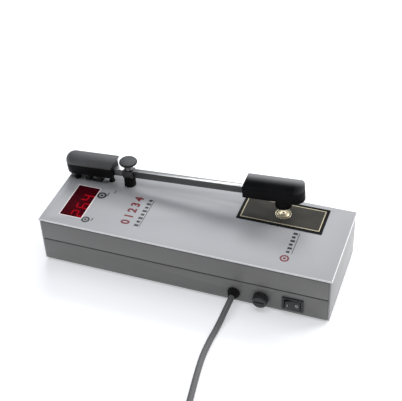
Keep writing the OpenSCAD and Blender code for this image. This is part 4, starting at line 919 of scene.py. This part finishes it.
# each bar of a figure: steps across, steps up, whether it stands upright
segmentPlaces = {"a": (0, 2, False), "b": (1, 1, True), "c": (1, -1, True), "d": (0, -2, False),
                 "e": (-1, -1, True), "f": (-1, 1, True), "g": (0, 0, False)}
paneMiddle = (paneLow + paneHigh) / 2
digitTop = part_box("display_digits")[1].z
bar = block("bar", (-digitLook["length"] / 2, -digitLook["width"] / 2, 0),
            (digitLook["length"] / 2, digitLook["width"] / 2, digitLook["height"]))
with editing(bar):
    chosenFaces(lambda normal: abs(normal.x) > 0.9)
    bpy.ops.mesh.extrude_region_move()
    bpy.ops.transform.resize(value=(digitLook["tip"], digitLook["point"], 1), center_override=(0, 0, 0))
applied(bar)
bars = []
for i, figure in enumerate(digitLook["shown"]):
    for letter in figure:
        across, up, upright = segmentPlaces[letter]
        place = (paneMiddle.x + digitLook["middle"] - up * digitLook["figureTall"] / 4,
                 paneMiddle.y + digitLook["first"] + i * digitLook["pitch"] + across * digitLook["figureWide"] / 2,
                 digitTop - digitLook["sunk"])
        bars.append(copied(bar, place, (0, 0, 0 if upright else math.pi / 2)))
bpy.data.objects.remove(bar)
settle(joined("digit_bars", bars), "digit_bars", "lit_ink", "case")
print("display made:", len(bars), "bars")

# knob, in millimetres: a bored neck under a domed head with a fluted rim
knobLook = {"bore": 2.06, "neck": 4.5, "ease": 0.3, "flare": 1.0, "flareTall": 0.8, "head": 4.6, "edge": 1.0,
            "edgeAngles": (-60, -30, 0), "domeAngles": (8, 16, 24, 33, 42, 52, 62, 72, 82), "flutes": 32,
            "fluteIn": 0.9, "fluteWide": 0.4, "fluteShrink": 0.97, "overBore": 1.6}
knobLow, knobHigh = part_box("height_knob")
knobFoot = Vector(((knobLow.x + knobHigh.x) / 2, (knobLow.y + knobHigh.y) / 2, knobLow.z))
knobRadius = (knobHigh.x - knobLow.x) * 500
knobTall = (knobHigh.z - knobLow.z) * 1000
neckTall = knobTall - knobLook["head"]


def arc(radius, height, middleRadius, middleHeight, angles):
    return [(middleRadius + radius * math.cos(math.radians(a)), middleHeight + height * math.sin(math.radians(a)))
            for a in angles]


def knobOutline():
    neck, ease, edge = knobLook["neck"], knobLook["ease"], knobLook["edge"]
    points = [(knobLook["bore"], 0), (neck - ease, 0), (neck, ease), (neck, neckTall - knobLook["flareTall"]),
              (neck + ease, neckTall - ease), (neck + knobLook["flare"], neckTall), (knobRadius - edge, neckTall)]
    points += arc(edge, edge, knobRadius - edge, neckTall + edge, knobLook["edgeAngles"])
    points += arc(knobRadius, knobLook["head"] - edge, 0, neckTall + edge, knobLook["domeAngles"])
    return points + [(0, knobTall)]


def inFlute(co):
    turn = math.atan2(co.y, co.x) * knobLook["flutes"] / (2 * math.pi)
    onRim = math.hypot(co.x, co.y) > (knobRadius - knobLook["fluteIn"]) / 1000
    return onRim and abs(turn % 1 - 0.5) < knobLook["fluteWide"] / 2


knob = turned("knob", knobOutline(), knobFoot, 4 * knobLook["flutes"])
with editing(knob):
    chosen(inFlute)
    shrink = knobLook["fluteShrink"]
    bpy.ops.transform.resize(value=(shrink, shrink, 1), center_override=knobFoot)
    pickOpenEdges()
    extrudeBy((0, 0, (knobTall - knobLook["overBore"]) / 1000))
    bpy.ops.mesh.edge_face_add()
    faceOutward()
settle(knob, "knob", "knob_grey", "knob", ["height_knob"], 40)

# boot, in millimetres: a foot and a wavy wall, cut off under the sloping bar
bootLook = {"radius": 6.1, "bore": 4.05, "folds": 5, "fold": 0.9, "foldSteps": 6, "foot": 1.5,
            "footEase": (0.2, 0.25), "step": 0.4, "spare": 1.2, "keep": 0.805}
bootLow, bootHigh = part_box("spring_boot")
bootFoot = Vector(((bootLow.x + bootHigh.x) / 2, (bootLow.y + bootHigh.y) / 2, bootLow.z))
underBar = (bootHigh.z - bootLow.z) * 1000 - bootLook["radius"] * math.tan(armSlope)
bootTall = underBar + bootLook["spare"]


def bootOutline():
    radius, foot, step = bootLook["radius"], bootLook["foot"], bootLook["step"]
    easeIn, easeUp = bootLook["footEase"]
    outer = [(radius - easeIn, 0), (radius, easeUp), (radius, foot)]
    span = bootTall - foot - step
    count = bootLook["folds"] * bootLook["foldSteps"]
    for i in range(1, count + 1):
        wave = 0.5 - 0.5 * math.cos(2 * math.pi * i / bootLook["foldSteps"])
        outer.append((radius - bootLook["fold"] + bootLook["fold"] * wave, foot + step + span * i / count))
    return outer + [(bootLook["bore"], bootTall), (bootLook["bore"], 0)] + outer[:1]


boot = turned("boot", bootOutline(), bootFoot, 56)
with editing(boot):
    bpy.ops.mesh.select_all(action="SELECT")
    bpy.ops.mesh.bisect(plane_co=bootFoot + Vector((0, 0, underBar / 1000)),
                        plane_no=(-math.sin(armSlope), 0, math.cos(armSlope)), clear_outer=True)
    pickOpenEdges()
    bpy.ops.mesh.bridge_edge_loops()
    faceOutward()
settle(boot, "boot", "black_rubber", "case", ["spring_boot"], 50)
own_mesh(boot)
spring = edged("return_spring", 0.00003, sharp=60)
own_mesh(spring)
print("knob and boot turned")

# gland, in millimetres: a flange on the front and three ribs that taper outward
glandLook = {"foot": [(0, -14), (4, -14), (4.9, -2.5), (4.9, 0), (6.2, 0), (6.2, 1.5), (5.9, 2.3), (5.3, 2.6),
                      (5.0, 3.0)],
             "rib": [(4.9, 0), (4.9, 0.6), (4.45, 0.7), (4.4, 1.1)], "ribs": 3, "first": 3.3, "pitch": 1.2,
             "taper": 0.35, "mouth": [(3.7, 7), (0, 7)], "edge": 0.00015}
# relief, in millimetres: the plug's ribbed neck
reliefLook = {"foot": [(0, -1), (6.6, -1), (6.2, 1), (6.0, 2)],
              "rib": [(5.9, 0), (5.9, 1.9), (5.1, 2.2), (5.1, 3.1)], "ribs": 5, "first": 3, "pitch": 3.4,
              "taper": 0.38, "mouth": [(3.8, 20.4), (3.6, 22), (0, 22)], "edge": 0.0002}


def ribbed(name, look, centre, turn, steps):
    outline = list(look["foot"])
    for i in range(look["ribs"]):
        outline += [(r - i * look["taper"], look["first"] + i * look["pitch"] + z) for r, z in look["rib"]]
    obj = turned(name, outline + look["mouth"], centre, steps)
    obj.rotation_euler = turn
    return bevelled(obj, look["edge"], 2, 25)


glandLow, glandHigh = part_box("cord_gland")
glandMiddle = (glandLow + glandHigh) / 2
gland = ribbed("gland", glandLook, (glandMiddle.x, front, glandMiddle.z), (math.pi / 2, 0, 0), 48)
settle(gland, "gland", "black_rubber", "case", ["cord_gland"], 45)

plugLook = {"length": 0.038, "straight": 0.019, "step": 0.0047,
            "shrink": [(0.93, 0.94), (0.84, 0.9), (0.78, 0.88), (0.84, 0.9)], "faceIn": 0.0022,
            "faceDeep": 0.0003, "edge": 0.003}
plugLow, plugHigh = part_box("mains_plug")
plugMiddle = (plugLow + plugHigh) / 2
plug = block("plug_body", plugLow, (plugLow.x + plugLook["straight"], plugHigh.y, plugHigh.z))
with editing(plug):
    chosenFaces(lambda normal: normal.x > 0.9)
    for across, high in plugLook["shrink"]:
        extrudeBy((plugLook["step"], 0, 0))
        bpy.ops.transform.resize(value=(1, across, high), center_override=(0, plugMiddle.y, plugMiddle.z))
    chosenFaces(lambda normal: normal.x < -0.9)
    bpy.ops.mesh.inset(thickness=plugLook["faceIn"])
    extrudeBy((plugLook["faceDeep"], 0, 0))
bevelled(plug, plugLook["edge"], 4, 50)
relief = ribbed("relief", reliefLook, (plugLow.x + plugLook["length"], plugMiddle.y, plugMiddle.z),
                (0, math.pi / 2, 0), 40)
applied(plug)
applied(relief)
settle(joined("plug_body", [plug, relief]), "plug_body", "black_rubber", "case", ["mains_plug"], 40)
print("gland and plug made")

printLook = {"thick": 0.00004, "sunk": 0.00002, "numbers": "01234", "numberSize": 0.0125, "bold": 0.0005,
             "numberAt": (-0.0645, -0.030), "numberStep": 0.0092}


def printed(name, text, place):
    deselect()
    bpy.ops.object.text_add(location=place, rotation=(0, 0, math.pi / 2))
    obj = bpy.context.object
    obj.data.body = text
    obj.data.size = printLook["numberSize"]
    obj.data.align_x = "CENTER"
    obj.data.align_y = "CENTER"
    obj.data.extrude = printLook["thick"]
    obj.data.offset = printLook["bold"]
    obj.data.resolution_u = 3
    bpy.ops.object.convert(target="MESH")
    with editing(obj):
        welded()
    return settle(obj, name, "red_ink", "case")


for i, number in enumerate(printLook["numbers"]):
    x, y = printLook["numberAt"]
    printed("print_number_" + number, number, (x, y + i * printLook["numberStep"], top + printLook["thick"] / 2))


def stripes(name, marks, ink):
    # small flat bars: middle, then size along X and along Y, in millimetres; their tops are inset a fifth
    made = []
    for x, y, wide, long in marks:
        mark = block("mark", ((x - wide / 2) / 1000, (y - long / 2) / 1000, top - printLook["sunk"]),
                     ((x + wide / 2) / 1000, (y + long / 2) / 1000, top + printLook["thick"]))
        insetTop(mark, min(wide, long) * 0.0002)
        made.append(mark)
    return settle(joined(name, made), name, ink, "case")


# rows of marks with a line beside them, in millimetres; places and widths alternate
rows = {
    "print_scale": {"x": (-52.4, -52.4), "wide": (4.6, 3.6), "first": -31.5, "pitch": 5.6, "count": 8,
                    "long": 3.0, "line": (-49.0, -12, 0.6, 42)},
    "print_marks": {"x": (100.9, 101.3), "wide": (3.4, 4.4), "first": -24.5, "pitch": 5.4, "count": 6,
                    "long": 2.9, "line": (105.2, -11, 0.6, 31)},
}
for name, row in rows.items():
    marks = [(row["x"][i % 2], row["first"] + i * row["pitch"], row["wide"][i % 2], row["long"])
             for i in range(row["count"])]
    stripes(name, marks + [row["line"]], "black_ink")
stripes("print_dashes", [(-98.2, -36.5, 1.5, 4.6), (-98.6, 4.4, 1.6, 6.0), (-93.0, 10.2, 1.2, 5.2)], "grey_ink")


def ringOutline(inner, outer, thick):
    return [(inner, 0), (outer, 0), (outer, thick), (inner, thick), (inner, 0)]


def ringMark(name, radius, wide, x, y, ink):
    # a ring round a dot, in millimetres
    place, thick = (x / 1000, y / 1000, top), printLook["thick"] * 1000
    ring = turned(name, ringOutline(radius - wide, radius, thick), place, 40)
    dot = turned("dot", [(0, 0), (radius * 0.33, 0), (radius * 0.33, thick), (0, thick)], place, 24)
    return settle(joined(name, [ring, dot]), name, ink, "case")


ringMark("print_ring_red", 4.6, 1.8, 100.3, -34.0, "red_ink")
ringMark("print_ring_left", 4.4, 2.0, -104.6, -38.5, "black_ink")
ringMark("print_ring_back", 5.0, 2.3, -104.2, 1.0, "black_ink")

# the rocker's plain signs, in millimetres
signLook = {"out": 4.4, "ring": 1.5, "line": 0.5, "tall": 3.2, "thick": 0.05, "inset": 0.1}
rockerLow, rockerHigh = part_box("switch_rocker")
rockerMiddle = (rockerLow + rockerHigh) / 2
rockerMesh = nodes["switch_rocker"].data
rockerFace = BVHTree.FromPolygons([v.co for v in rockerMesh.vertices], [p.vertices for p in rockerMesh.polygons])


def onRocker(obj, name, side):
    # laid on the rocker's face where it meets a line from the front
    start = Vector((rockerMiddle.x + side * signLook["out"] / 1000, front - 0.05, rockerMiddle.z))
    place, normal = rockerFace.ray_cast(start, Vector((0, 1, 0)))[:2]
    obj.location = place - normal * signLook["thick"] / 4000
    obj.rotation_euler = normal.to_track_quat("Z", "Y").to_euler()
    return settle(obj, name, "white_ink", "rocker")


signRing = ringOutline(signLook["ring"] - signLook["line"], signLook["ring"], signLook["thick"])
onRocker(turned("off_mark", signRing, (0, 0, 0), 32), "print_off", 1)
strokeHalf = Vector((signLook["line"], signLook["tall"], signLook["thick"])) / 2000
stroke = block("on_mark", -strokeHalf, strokeHalf)
insetTop(stroke, signLook["inset"] / 1000)
onRocker(stroke, "print_on", -1)
print("prints made")

floorLook = {"radius": 14, "rough": 0.6, "cloth": 3, "base": [(0.90, 0.90, 0.92, 1), (0.87, 0.87, 0.89, 1)],
             "glow": [(0.97, 0.98, 1, 1), (0.95, 0.96, 0.98, 1)], "strength": 0.4}
bpy.ops.mesh.primitive_circle_add(vertices=96, radius=floorLook["radius"], fill_type="NGON", location=(0, 0, 0))
floor = bpy.context.object
floor.name = "floor"
ground = Finish("floor_paint", Metallic=0.0, Roughness=floorLook["rough"])
cloth = ground.noise(floorLook["cloth"], 2)
ground.set("Base Color", ground.mix(cloth, *floorLook["base"]))
ground.set("Emission Color", ground.mix(cloth, *floorLook["glow"]))
ground.set("Emission Strength", floorLook["strength"])
floor.data.materials.append(ground.material)
